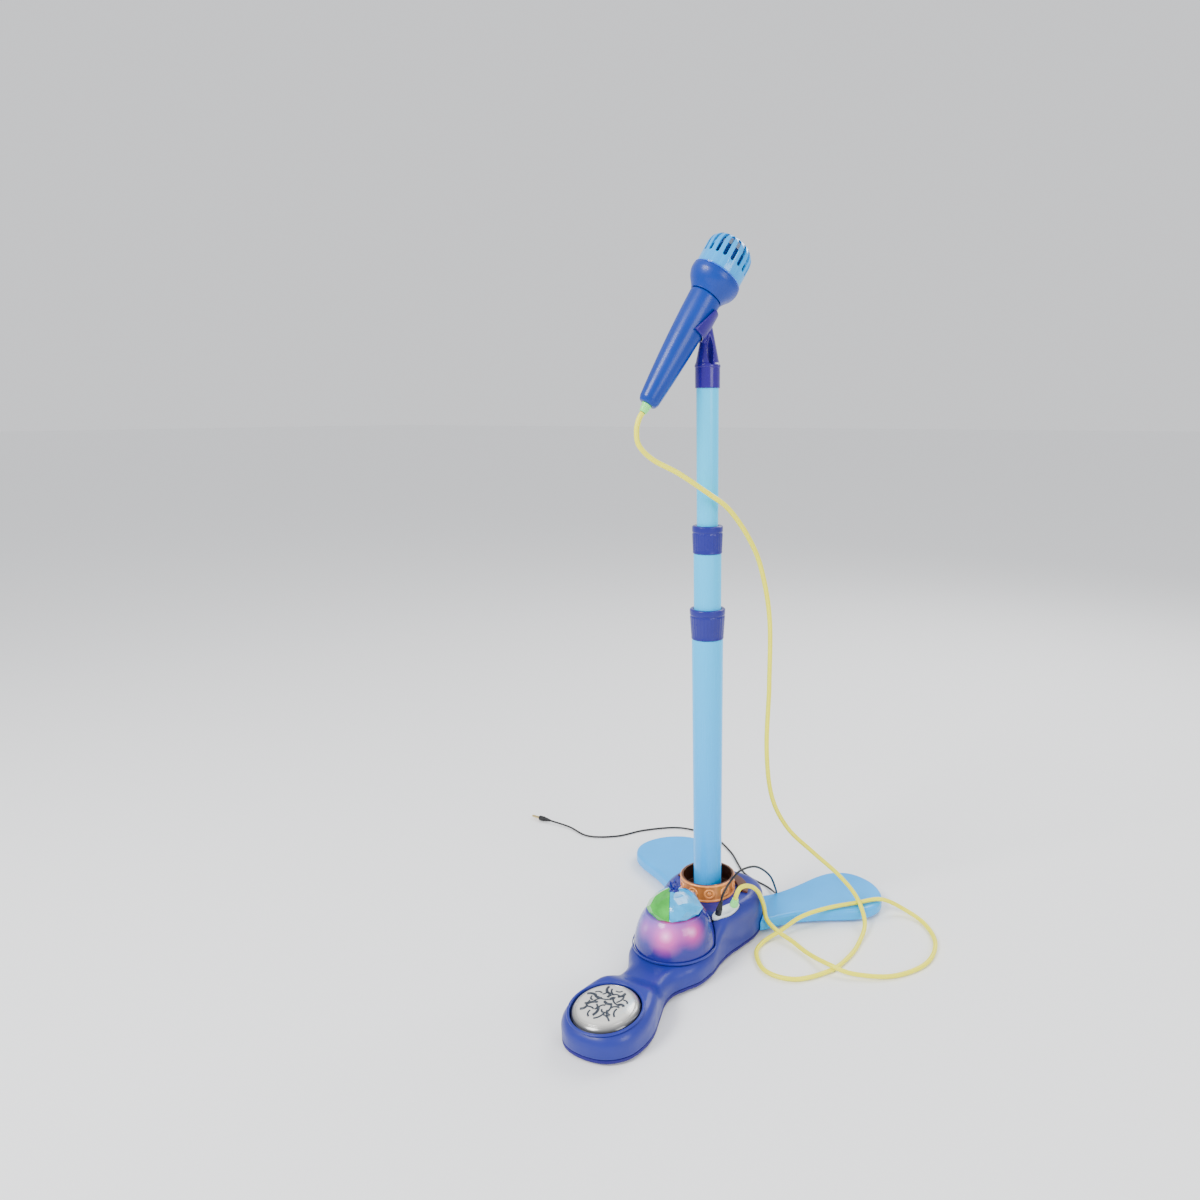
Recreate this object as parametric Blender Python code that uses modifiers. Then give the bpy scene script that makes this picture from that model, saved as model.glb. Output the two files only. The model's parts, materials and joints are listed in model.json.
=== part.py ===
"""Toy microphone on a telescopic stand with a pedal base, two plug-in legs and two leads.

The origin is on the floor under the mast, +Z is up along the mast, and the pedal foot points along -Y.
"""

from math import atan2, cos, pi, radians, sin

import bmesh
import bpy
import numpy as np
from mathutils import Matrix, Vector

MM = 0.001
GAP = 0.3 * MM  # between pieces that touch

# ---- driving dimensions -------------------------------------------------------------------------
# Base housing, as half its plan outline from the rear round to the tip of the foot.
BASE_OUTLINE = [(0, 60), (30, 56), (48, 40), (54, 12), (50, -14), (45, -36), (43.5, -56), (44.5, -76),
                (41, -97), (33, -112), (26.5, -126), (26.5, -142), (33, -163), (39.5, -184), (41, -203),
                (36, -223), (21, -237), (0, -241)]
# Height of the housing's top along its length, before the foot's slope.
BASE_TOP = [(60, 52), (-38, 52), (-76, 30), (-125, 27), (-142, 27), (-168, 36.3)]
FOOT_SLOPE = 0.105
BASE_EDGE = 13 * MM
BASE_WALL = 2.4 * MM
FEET_HEIGHT = 3 * MM
PLATE = 3 * MM  # thickness of the lower shell
SHELL_BOTTOM = FEET_HEIGHT + PLATE + GAP
TOP_Z = 52 * MM  # flat top round the mast

# Fasteners and feet in the underside, by their places in plan.
DOOR_SCREW = (0, -101.5 * MM)
CASE_SCREWS = {"case_screw_left": (-37 * MM, 30 * MM), "case_screw_right": (37 * MM, 30 * MM),
               "case_screw_foot": (0, -150 * MM)}
RUBBER_FEET = {"rubber_foot_centre": (0, 0), "rubber_foot_left": (-18 * MM, -217 * MM),
               "rubber_foot_right": (18 * MM, -217 * MM)}

# Lamp: bell-shaped diffuser with a faceted cap.
LAMP_Y = -74 * MM
LAMP_BELL = [(29, 66), (33.5, 60.5), (37.5, 51), (40.5, 40), (42, 26.9)]
LAMP_GEM = [(6.5, 88.5), (17, 84), (24.5, 76), (27.5, 66.4)]
LAMP_WALL = 2.2 * MM

# Ornamental ring round the foot of the mast.
RING_R, RING_HEIGHT, RING_WALL = 30 * MM, 19.5 * MM, 3.6 * MM

# Pedal button on the sloping foot.
PEDAL_Y, PEDAL_R = -203 * MM, 32 * MM

# Legs.
LEG_ANGLE = 48  # degrees between a leg and the X axis
LEG_OUTLINE = [(0, 212), (22, 207.5), (38, 196), (45.5, 177), (43, 155), (32, 122), (25.5, 92), (26.5, 62),
               (27, 44)]
LEG_BOTTOM, LEG_TOP, LEG_EDGE = 3.5 * MM, 16 * MM, 4.5 * MM
TAB_WIDTH, TAB_START, TAB_END, TAB_LOW, TAB_HIGH = 30 * MM, 45 * MM, 84 * MM, 6.7 * MM, 12.7 * MM

# Mast.
LOWER_R_TOP, LOWER_R_BOTTOM, LOWER_BORE = 15.4 * MM, 14.8 * MM, 13.6 * MM
LOWER_START, LOWER_SHOULDER, LOWER_END = 10 * MM, 331 * MM, 345 * MM
LOWER_SPIGOT = 14.7 * MM
LOWER_COLLAR_TOP = 361 * MM
MIDDLE_R, MIDDLE_BORE, MIDDLE_SPIGOT = 13.3 * MM, 12 * MM, 12.7 * MM
MIDDLE_START, MIDDLE_SHOULDER, MIDDLE_END = 110 * MM, 413.6 * MM, 426.5 * MM
UPPER_COLLAR_TOP = 439.6 * MM
UPPER_R, UPPER_BORE, UPPER_START, UPPER_END = 10.1 * MM, 8.9 * MM, 240 * MM, 574 * MM

# Microphone, in a frame of its own: z runs along its axis from the point where that crosses the mast.
MIC_CROSSING = 636 * MM
MIC_TILT = 33.5  # degrees from the vertical
MIC_HEADING = 55  # degrees from +X to the side that the head leans to
MIC_TAIL, MIC_HANDLE_TOP = -108 * MM, -3 * MM
HANDLE_R_TOP, HANDLE_R_TAIL, HANDLE_WALL = 14.3 * MM, 8.8 * MM, 1.8 * MM
HEAD_R = 21 * MM
GRILLE_SLOTS = 18
CRADLE_LOW, CRADLE_HIGH, CRADLE_R, CRADLE_WALL = -36 * MM, -11 * MM, 14.6 * MM, 2.6 * MM
CRADLE_OPEN = -1 * MM, 8 * MM  # where the fork's arms end, at its lower and at its upper edge

# Leads.
MIC_CORD_R, AUDIO_CORD_R = 2.4 * MM, 1.2 * MM
MIC_CORD_TOP = [(-36.85, -52.62, 538.95), (-38.9, -55.5, 533.5), (-40, -58, 524), (-37.5, -58.5, 512),
                (-28, -51, 500), (-9, -38, 488), (9.9, -19.3, 471)]
MIC_CORD_MIDDLE = [(10.1, -19, 470.6), (24, -4.5, 456), (37, 12, 429), (44, 28, 397), (50, 37, 346),
                   (49.9, 40, 275)]
MIC_CORD_FLOOR = [(49.9, 40.1, 274.5), (48, 42, 207), (52, 50, 152), (66, 64, 112),
                  (90, 82, 80), (115, 99, 50), (137, 101, 26), (154, 81, 9), (158, 50, 2.7), (157, 18, 2.7),
                  (148, -14, 2.7), (122, -44, 2.7), (90, -45, 2.7), (68, -20, 2.7), (66, 4, 2.9), (77, 25, 8),
                  (92, 46, 18), (112, 74, 19.6), (139, 102, 19.4), (160, 122, 18.6), (184, 132, 7), (212, 118, 2.7),
                  (232, 84, 2.7), (232, 42, 2.7), (208, 6, 2.7), (172, -12, 5), (146, -12, 8), (118, 2, 4.5),
                  (94, 15, 5.5), (74, 22, 8.5), (60.5, 24, 18), (57.2, 22, 36), (54.5, 16, 52), (52, 6, 64),
                  (49, -6, 71.5), (45.8, -15, 72.5), (43.7, -19.1, 66.5), (42.45, -18.75, 61.05)]
AUDIO_CORD = [(37.3, -42.3, 68.85), (38.6, -42.5, 75), (41, -39, 83), (43, -30, 89), (46, -14, 93), (51, 14, 85),
              (54, 44, 61), (50, 72, 30), (40, 98, 8), (20, 118, 1.5), (-18, 136, 1.5), (-58, 180, 1.5),
              (-100, 210, 1.5), (-150, 214, 1.5), (-190, 186, 1.5), (-215, 152, 1.5), (-250, 135, 1.5),
              (-288, 146, 2), (-322, 148, 3.6)]

# Jack plate on the housing's right shoulder.
JACK_CENTRE = (36.5 * MM, -29.5 * MM, 50.9 * MM)
JACK_TURN, JACK_TILT = -17, 14  # degrees
BATTERY_X = 9 * MM
AUDIO_JACK_Y, MIC_JACK_Y = -12 * MM, 12 * MM
JACK_HOLE, JACK_R = 2.4 * MM, 4 * MM

PARTS = bpy.data.collections.new("toy_microphone")
CUTTERS = bpy.data.collections.new("cutters")


# ---- scene and materials ------------------------------------------------------------------------
def clear_scene():
    for obj in list(bpy.data.objects):
        bpy.data.objects.remove(obj)
    for collection in (PARTS, CUTTERS):
        bpy.context.scene.collection.children.link(collection)
    CUTTERS.hide_render = True


def material(name, color, roughness=0.4, metallic=0.0, transmission=0.0):
    made = bpy.data.materials.new(name)
    made.use_nodes = True
    made.diffuse_color = (*color, 1)
    shader = made.node_tree.nodes["Principled BSDF"]
    shader.inputs["Base Color"].default_value = (*color, 1)
    shader.inputs["Roughness"].default_value = roughness
    shader.inputs["Metallic"].default_value = metallic
    shader.inputs["Transmission Weight"].default_value = transmission
    return made


INDIGO = material("indigo_housing", (0.10, 0.13, 0.48), 0.35)
COLLAR_BLUE = material("collar_violet_blue", (0.07, 0.09, 0.42), 0.35)
MAST_BLUE = material("mast_pale_blue", (0.28, 0.66, 0.95), 0.3)
LEG_BLUE = material("leg_sky_blue", (0.15, 0.62, 0.95), 0.35)
COBALT = material("microphone_cobalt", (0.03, 0.12, 0.45), 0.35)
CYAN = material("grille_cyan", (0.03, 0.45, 0.9), 0.3)
COPPER = material("ring_copper", (0.75, 0.28, 0.07), 0.35, 0.5)
SILVER = material("pedal_silver", (0.85, 0.85, 0.84), 0.25, 0.3)
BELL = material("lamp_bell", (0.55, 0.45, 0.85), 0.3, 0, 0.4)
GREEN_LENS = material("lamp_green", (0.22, 0.5, 0.12), 0.15, 0, 0.4)
BLUE_LENS = material("lamp_blue", (0.0, 0.4, 0.9), 0.15, 0, 0.4)
WHITE = material("white_plastic", (0.8, 0.8, 0.8), 0.4)
YELLOW = material("lead_yellow", (0.93, 0.86, 0.3), 0.45)
PALE_GREEN = material("plug_pale_green", (0.6, 0.85, 0.65), 0.4)
BLACK = material("black_plastic", (0.02, 0.02, 0.02), 0.5)
FOAM_BLUE = material("foam_blue", (0.01, 0.12, 0.4), 0.9)
RUBBER = material("rubber_grey", (0.06, 0.06, 0.07), 0.8)
STEEL = material("steel", (0.6, 0.6, 0.6), 0.3, 1)
BOARD = material("circuit_board", (0.03, 0.25, 0.09), 0.5)
BATTERY = material("battery_jacket", (0.3, 0.3, 0.32), 0.4)


# ---- modelling helpers --------------------------------------------------------------------------
def empty(name, matrix):
    made = bpy.data.objects.new(name, None)
    made.matrix_world = matrix
    PARTS.objects.link(made)
    return made


def add(name, data, look=None, parent=None, smooth=40):
    """Link new data as a part, or as a cutter where it has no look."""
    made = bpy.data.objects.new(name, data)
    (PARTS if look else CUTTERS).objects.link(made)
    if look:
        data.materials.append(look)
    else:
        made.hide_render = True
        made.display_type = "WIRE"
    if parent:
        made.parent = parent
    if smooth and isinstance(data, bpy.types.Mesh):
        data.shade_smooth()
        data.set_sharp_from_angle(angle=radians(smooth))
    return made


def mesh_from(bm, name):
    bmesh.ops.remove_doubles(bm, verts=bm.verts, dist=1e-6)
    bmesh.ops.dissolve_degenerate(bm, edges=bm.edges, dist=1e-6)
    bmesh.ops.recalc_face_normals(bm, faces=bm.faces)
    mesh = bpy.data.meshes.new(name)
    bm.to_mesh(mesh)
    bm.free()
    return mesh


def boxes(name, places, look=None, parent=None, bevel=0.0):
    """One object of separate boxes, each (size, centre) or (size, centre, turn about Z)."""
    bm = bmesh.new()
    for size, centre, *turn in places:
        spin = Matrix.Rotation(radians(turn[0]) if turn else 0, 4, "Z")
        place = spin @ Matrix.Translation(centre) @ Matrix.Diagonal((*size, 1))
        bmesh.ops.create_cube(bm, size=1, matrix=place)
    made = add(name, mesh_from(bm, name), look, parent, smooth=30)
    if bevel:
        rounded = made.modifiers.new("Bevel", "BEVEL")
        rounded.width = bevel
        rounded.segments = 2
    return made


def rods(name, places, look=None, parent=None, segments=20):
    """One object of separate round rods, each (radius, top radius, height, centre of its foot)."""
    bm = bmesh.new()
    for low, high, height, (x, y, z) in places:
        bmesh.ops.create_cone(bm, cap_ends=True, segments=segments, radius1=low, radius2=high, depth=height,
                              matrix=Matrix.Translation((x, y, z + height / 2)))
    return add(name, mesh_from(bm, name), look, parent, smooth=30)


def turned(name, profile, look=None, parent=None, steps=32, at=(0, 0, 0), smooth=40):
    """A profile of (radius, z), down its outer side, swept round Z. It is closed unless it starts on the axis."""
    mesh = bpy.data.meshes.new(name)
    count = len(profile)
    edges = [(i, i + 1) for i in range(count - 1)]
    if profile[0][0] > 0:
        edges.append((count - 1, 0))
    mesh.from_pydata([(r, 0, z) for r, z in profile], edges, [])
    made = add(name, mesh, look, parent, smooth=0)
    made.location = at
    screw = made.modifiers.new("Screw", "SCREW")
    screw.steps = screw.render_steps = steps
    screw.use_merge_vertices = True
    screw.merge_threshold = 1e-5
    screw.use_smooth_shade = smooth > 0
    return made


def cut(target, cutter, operation="DIFFERENCE"):
    made = target.modifiers.new(operation.title(), "BOOLEAN")
    made.operation = operation
    made.solver = "EXACT"
    made.object = cutter
    return made


def spline(points, steps, start=None, end=None):
    """Points along a smooth curve through the given ones, steps to a span. start and end steer its tangents."""
    given = [Vector(p) for p in points]
    first = Vector(start) if start else given[0] * 2 - given[1]
    last = Vector(end) if end else given[-1] * 2 - given[-2]
    held = [first, *given, last]
    fine = []
    for a, b, c, d in zip(held, held[1:], held[2:], held[3:]):
        for step in range(steps):
            t = step / steps
            fine.append(0.5 * (b * 2 + (c - a) * t + (a * 2 - b * 5 + c * 4 - d) * t**2
                               + (b * 3 - a - c * 3 + d) * t**3))
    fine.append(given[-1])
    return np.array([tuple(p) for p in fine])


def evenly(line, count):
    """The line again, as points at equal distances along it."""
    lengths = np.concatenate([[0], np.cumsum(np.linalg.norm(np.diff(line, axis=0), axis=1))])
    stops = np.linspace(0, lengths[-1], count)
    return np.stack([np.interp(stops, lengths, column) for column in line.T], axis=1)


def lead(name, points, radius, look):
    """A round flexible lead: a bevelled polyline with closed ends, along a smooth route in millimetres."""
    route = spline(points, 2) * MM
    curve = bpy.data.curves.new(name, "CURVE")
    curve.dimensions = "3D"
    curve.bevel_depth = radius
    curve.bevel_resolution = 2
    curve.use_fill_caps = True
    line = curve.splines.new("POLY")
    line.points.add(len(route) - 1)
    for point, place in zip(line.points, route):
        point.co = (*place, 1)
    return add(name, curve, look)


def pillow(name, outline, bottom, top_at, edge, rounds=3, across=3, per_span=2, grow=0.0, look=None, parent=None):
    """A closed body over a symmetric plan outline, with upright walls and a rounded top edge.

    top_at(x, y) gives its height, grow moves the walls out, rounds and across divide the edge and the top.
    """
    half = [(x * MM, y * MM) for x, y in outline]
    before, after = (-half[1][0], half[1][1]), (-half[-2][0], half[-2][1])
    closed_end = half[-1][0] < MM
    line = spline([(*p, 0) for p in half], 12, (*before, 0), (*after, 0) if closed_end else None)
    flat = evenly(line, per_span * (len(half) - 1) + 1)[:, :2]
    way = np.gradient(flat, axis=0)
    normals = np.stack([-way[:, 1], way[:, 0]], axis=1)
    normals /= np.linalg.norm(normals, axis=1)[:, None]
    normals[0] = (0, 1)
    if closed_end:
        normals[-1] = (0, -1)
    else:
        normals[-1] = (1, 0)
    insets = [edge * (1 - cos(pi / 2 * k / rounds)) for k in range(rounds + 1)]
    bm = bmesh.new()
    rings = []
    for (x, y), (nx, ny) in zip(flat, normals):
        x, y = x + grow * nx, y + grow * ny
        side = [(x, y, bottom)]
        for k, inset in enumerate(insets):
            px, py = max(x - inset * nx, 0), y - inset * ny
            side.append((px, py, top_at(px, py) - edge * (1 - sin(pi / 2 * k / rounds))))
        px, py, _ = side[-1]
        for step in range(1, across + 1):
            qx = px * (1 - step / across)
            side.append((qx, py, top_at(qx, py)))
        whole = side + [(-a, b, c) for a, b, c in side[-2::-1]]
        rings.append([bm.verts.new(p) for p in whole])
    for one, two in zip(rings, rings[1:]):
        for k in range(len(one)):
            a, b = k, (k + 1) % len(one)
            bm.faces.new((one[a], one[b], two[b], two[a]))
    if not closed_end:
        bm.faces.new(rings[-1])
    mesh = mesh_from(bm, name)
    return add(name, mesh, look, parent)


def smoothstep(t):
    t = min(max(t, 0), 1)
    return t * t * (3 - 2 * t)


# ---- base housing -------------------------------------------------------------------------------
def base_top(x, y):
    """Height of the housing's top: level round the mast, down past the lamp, and up to the sloping foot."""
    back_y, back_z = BASE_TOP[-1]
    along = y / MM
    if along <= back_y:
        return (back_z + FOOT_SLOPE * (along - back_y)) * MM
    for (y0, z0), (y1, z1) in zip(BASE_TOP, BASE_TOP[1:]):
        if along >= y1:
            return (z1 + (z0 - z1) * smoothstep((along - y1) / (y0 - y1))) * MM
    return back_z * MM


def cavity_top(x, y):
    """Ceiling of the housing's inside, kept low under the lamp's seat."""
    seat = 24 * MM
    away = ((x**2 + (y - LAMP_Y) ** 2) ** 0.5 - 44.5 * MM) / (7 * MM)
    full = base_top(x, y) - BASE_WALL
    return min(full, seat + max(full - seat, 0) * smoothstep(away))


def bell_profile(grow=0.0):
    return [(r * MM + grow, z * MM) for r, z in LAMP_BELL]


def hole(name, radius, low, high, parent=None, segments=32):
    """A round cutter along Z, from low to high."""
    return rods(name, [(radius, radius, high - low, (0, 0, low))], parent=parent, segments=segments)


def base_housing(jacks, pedal):
    body = pillow("base_upper_shell", BASE_OUTLINE, SHELL_BOTTOM, base_top, BASE_EDGE, look=INDIGO)
    inside = pillow("cavity", BASE_OUTLINE, -5 * MM, cavity_top, BASE_EDGE - BASE_WALL, rounds=2, grow=-BASE_WALL)
    cut(body, inside)
    # The lamp's bell stands in a seat of its own shape.
    bell = bell_profile(0.4 * MM)
    seat_z, wire_r = 26.5 * MM, 4 * MM
    seat = turned("lamp_seat_cutter", [(0, 80 * MM), (bell[0][0], 80 * MM), *bell[:-1], (bell[-1][0], seat_z),
                                       (wire_r, seat_z), (wire_r, 15 * MM), (0, 15 * MM)], at=(0, LAMP_Y, 0),
                  steps=32)
    cut(body, seat)
    cut(body, hole("mast_hole", LOWER_R_BOTTOM + 0.6 * MM, 40 * MM, 60 * MM))
    cut(body, hole("pedal_well", PEDAL_R + 0.7 * MM, -12 * MM, 8 * MM, pedal))
    opening = rods("jack_opening", [(1, 1, 22 * MM, (0, 0, -17.5 * MM))], parent=jacks, segments=28)
    opening.data.transform(Matrix.Diagonal((6.8 * MM, 20.3 * MM, 1, 1)))
    cut(body, opening)
    tab = (TAB_END, TAB_WIDTH + 0.8 * MM, TAB_HIGH - TAB_LOW + 0.8 * MM)
    centre = (TAB_END / 2 + 30 * MM, 0, (TAB_LOW + TAB_HIGH) / 2)
    cut(body, boxes("leg_sockets", [(tab, centre, LEG_ANGLE), (tab, centre, 180 - LEG_ANGLE)]))
    cut(body, boxes("switch_slot", [((18 * MM, 12 * MM, 6 * MM), (0, 59 * MM, 22 * MM))]))


def base_plate():
    plate = pillow("base_lower_shell", BASE_OUTLINE, FEET_HEIGHT, lambda x, y: FEET_HEIGHT + PLATE, 0.8 * MM,
                   rounds=1, across=2, per_span=2, look=INDIGO)
    cut(plate, boxes("door_opening", [((50.6 * MM, 58.6 * MM, 10 * MM), (0, -77 * MM, 4 * MM))]))
    slots = [((20 * MM, 2.2 * MM, 10 * MM), (0, (39 + 4.4 * k) * MM, 4 * MM)) for k in range(-2, 3)]
    cut(plate, boxes("speaker_slots", slots))
    holes = [(2.2 * MM, 2.2 * MM, 10 * MM, (x, y, 0)) for x, y in CASE_SCREWS.values()]
    cut(plate, rods("case_screw_holes", holes, segments=12))
    door = boxes("battery_door",
                 [((50 * MM, 58 * MM, 2.7 * MM), (0, -77 * MM, FEET_HEIGHT + 1.35 * MM))], INDIGO,
                 bevel=0.5 * MM)
    x, y = DOOR_SCREW
    cut(door, rods("door_screw_hole", [(2.2 * MM, 2.2 * MM, 10 * MM, (x, y, 0))], segments=12))
    for name, (x, y) in {"battery_door_screw": DOOR_SCREW, **CASE_SCREWS}.items():
        rods(name, [(1.8 * MM, 1.8 * MM, 2.3 * MM, (x, y, FEET_HEIGHT + GAP))], STEEL, segments=12)


def rubber_feet():
    for name, (x, y) in RUBBER_FEET.items():
        rods(name, [(5.5 * MM, 6.5 * MM, FEET_HEIGHT - GAP, (x, y, 0))], RUBBER, segments=20)


def inside_of_base(jacks):
    low = SHELL_BOTTOM + GAP
    socket = [(17.6, 48.5), (17.6, 12), (21, 10), (21, low / MM), (8, low / MM), (8, 9.6), (15.2, 9.6),
              (15.2, 48.5)]
    turned("mast_socket", [(r * MM, z * MM) for r, z in socket], WHITE)
    speaker = [(0, 17.6), (8, 17.6), (8, 12.9), (15, 11.4), (15, 6.8), (12.8, 6.8), (5, 9.6), (0, 10.4)]
    turned("speaker", [(r * MM, z * MM) for r, z in speaker], BLACK, at=(0, 39 * MM, 0), steps=24)
    boxes("circuit_board", [((20 * MM, 52 * MM, 1.6 * MM), (-33 * MM, 4 * MM, 30 * MM))], BOARD)
    lamp_board = [(0, 36), (2.6, 35), (4, 32), (4, 28.5), (20, 28.5), (20, 26.9), (0, 26.9)]
    turned("lamp_led_board", [(r * MM, z * MM) for r, z in lamp_board], BOARD, at=(0, LAMP_Y, 0), steps=24)
    for name, x in (("battery_left", -BATTERY_X), ("battery_right", BATTERY_X)):
        cell = rods(name, [(7.1 * MM, 7.1 * MM, 49.4 * MM, (0, 0, 0))], BATTERY)
        cell.location = (x, -54 * MM, 14 * MM)
        cell.rotation_euler = (pi / 2, 0, 0)
    boxes("battery_contacts", [((2 * BATTERY_X + 12 * MM, 0.6 * MM, 9 * MM), (0, -104 * MM, 14 * MM))], STEEL)
    for name, y in (("audio_jack", AUDIO_JACK_Y), ("mic_jack", MIC_JACK_Y)):
        turned(name, [(JACK_R, -4 * MM), (JACK_R, -16.5 * MM), (1 * MM, -16.5 * MM), (1 * MM, -15.2 * MM),
                      (2.05 * MM, -15.2 * MM), (2.05 * MM, -4 * MM)], BLACK, jacks, steps=16, at=(0, y, 0))
    plate = rods("jack_plate", [(1, 1, 3.6 * MM, (0, 0, -2.8 * MM))], WHITE, parent=jacks, segments=28)
    plate.data.transform(Matrix.Diagonal((6.4 * MM, 19.9 * MM, 1, 1)))
    holes = [(JACK_HOLE, JACK_HOLE, 12 * MM, (0, y, -6 * MM)) for y in (AUDIO_JACK_Y, MIC_JACK_Y)]
    cut(plate, rods("jack_holes", holes, parent=jacks, segments=16))
    boxes("power_switch_body", [((20 * MM, 6 * MM, 11 * MM), (0, 50 * MM, 25.5 * MM))], BLACK)
    knob = boxes("power_slider", [((7.8 * MM, 7.6 * MM, 5.2 * MM), (0, 0, 0))], BLACK, bevel=0.6 * MM)
    knob.location = (-4.3 * MM, 57.4 * MM, 22 * MM)


def lamp():
    outer = bell_profile()
    inner = [(r - LAMP_WALL, z - 0.4 * MM) for r, z in outer[::-1]]
    inner[0] = (outer[-1][0] - LAMP_WALL, outer[-1][1])
    turned("lamp_bell", [*outer, *inner[:-1], (24 * MM, 64 * MM), (24 * MM, 66 * MM)], BELL, at=(0, LAMP_Y, 0))
    gem = [(r * MM, z * MM) for r, z in LAMP_GEM]
    hollow = [(r - LAMP_WALL, z - 1.6 * MM) for r, z in gem[-2::-1]]
    profile = [(0, gem[0][1]), *gem, (gem[-1][0] - LAMP_WALL, gem[-1][1]), *hollow, (0, hollow[-1][1])]
    far = 60 * MM
    for name, look, side in (("lamp_gem_green", GREEN_LENS, -1), ("lamp_gem_blue", BLUE_LENS, 1)):
        half = turned(name, profile, look, at=(0, LAMP_Y, 0), steps=10, smooth=0)
        half.rotation_euler = (0, 0, radians(9))
        aside = -side * (far - GAP) / 2 - 4 * MM
        split = boxes(name + "_split", [((far, 2 * far, far), (aside, 0, 78 * MM), 27)])
        split.location = (0, LAMP_Y, 0)
        split.rotation_euler = (0, 0, radians(27))
        cut(half, split)
    spike = rods("lamp_spike", [(5.6 * MM, 0.6 * MM, 12 * MM, (0, 0, 0))], BLUE_LENS, segments=6)
    spike.location = (0, LAMP_Y, 88.8 * MM)


def copper_ring():
    bottom, floor = TOP_Z + GAP, TOP_Z + 2.8 * MM
    top = bottom + RING_HEIGHT
    inner = RING_R - RING_WALL
    ring = turned("copper_ring", [(RING_R - 1.2 * MM, top), (RING_R, top - 1.4 * MM), (RING_R, bottom),
                                  (16.2 * MM, bottom), (16.2 * MM, floor), (inner, floor), (inner, top)], COPPER,
                  steps=24)
    ring.rotation_euler = (0, 0, radians(7.5))
    arc = turned("rear_trim_arc", [(44 * MM, bottom + 2.4 * MM), (44 * MM, bottom), (33 * MM, bottom),
                                   (33 * MM, bottom + 3 * MM)], COPPER)
    cut(arc, boxes("trim_arc_cutter", [((120 * MM, 80 * MM, 20 * MM), (0, (-40 + 11) * MM, 55 * MM))]))


# ---- pedal --------------------------------------------------------------------------------------
def pedal_button(pedal):
    outer = [(0, 7), (12, 6.3), (21, 4.6), (28, 2), (31.2, -0.6), (32, -3), (32, -8)]
    inner = [(29.6, -8), (29.6, -2.6), (20, 1.4), (10.5, 3.2), (4.5, 3.4), (4.5, -9), (0, -9)]
    turned("pedal_button", [(r * MM, z * MM) for r, z in outer + inner], SILVER, pedal)
    seat = [(24, -12.4), (24, -15), (9, -15), (7, -17), (7, -24.6), (3.9, -24.6), (3.9, -12.4)]
    turned("pedal_seat", [(r * MM, z * MM) for r, z in seat], WHITE, pedal, steps=28)
    boxes("pedal_switch", [((5 * MM, 5 * MM, 6 * MM), (0, 0, -15.3 * MM))], BLACK, pedal)
    turns, steps = 4, 10
    low, high, radius = -11.3 * MM, 1.9 * MM, 8 * MM
    curve = bpy.data.curves.new("pedal_spring", "CURVE")
    curve.dimensions = "3D"
    curve.bevel_depth = 0.6 * MM
    curve.bevel_resolution = 1
    curve.use_fill_caps = True
    line = curve.splines.new("POLY")
    line.points.add(turns * steps)
    for k, point in enumerate(line.points):
        turn = 2 * pi * k / steps
        point.co = (radius * cos(turn), radius * sin(turn), low + (high - low) * k / (turns * steps), 1)
    add("pedal_spring", curve, STEEL, pedal)


# ---- legs ---------------------------------------------------------------------------------------
def leg(side, angle):
    """One leg, with its plug tab and rubber pad, in a frame whose +Y runs along it."""
    frame = empty(f"{side}_leg_frame", Matrix.Rotation(radians(angle - 90), 4, "Z"))
    body = pillow(f"{side}_leg", LEG_OUTLINE, LEG_BOTTOM, lambda x, y: LEG_TOP, LEG_EDGE, rounds=3, across=2,
                  per_span=2, look=LEG_BLUE, parent=frame)
    cut(body, bpy.data.objects["body_clearance"])
    height = TAB_HIGH - TAB_LOW
    tab = ((TAB_WIDTH, TAB_END - TAB_START, height), (0, (TAB_START + TAB_END) / 2, (TAB_LOW + TAB_HIGH) / 2))
    (width, long, high), centre = tab
    room = (width + 2 * GAP, long + 2 * GAP, high + 2 * GAP)
    pocket = boxes(f"{side}_tab_pocket", [(room, centre)], parent=frame)
    cut(body, pocket)
    boxes(f"{side}_leg_tab", [tab], INDIGO, frame, bevel=1 * MM)
    rods(f"{side}_leg_pad", [(9 * MM, 10 * MM, LEG_BOTTOM - GAP, (0, 178 * MM, 0))], RUBBER, frame, segments=20)


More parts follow.
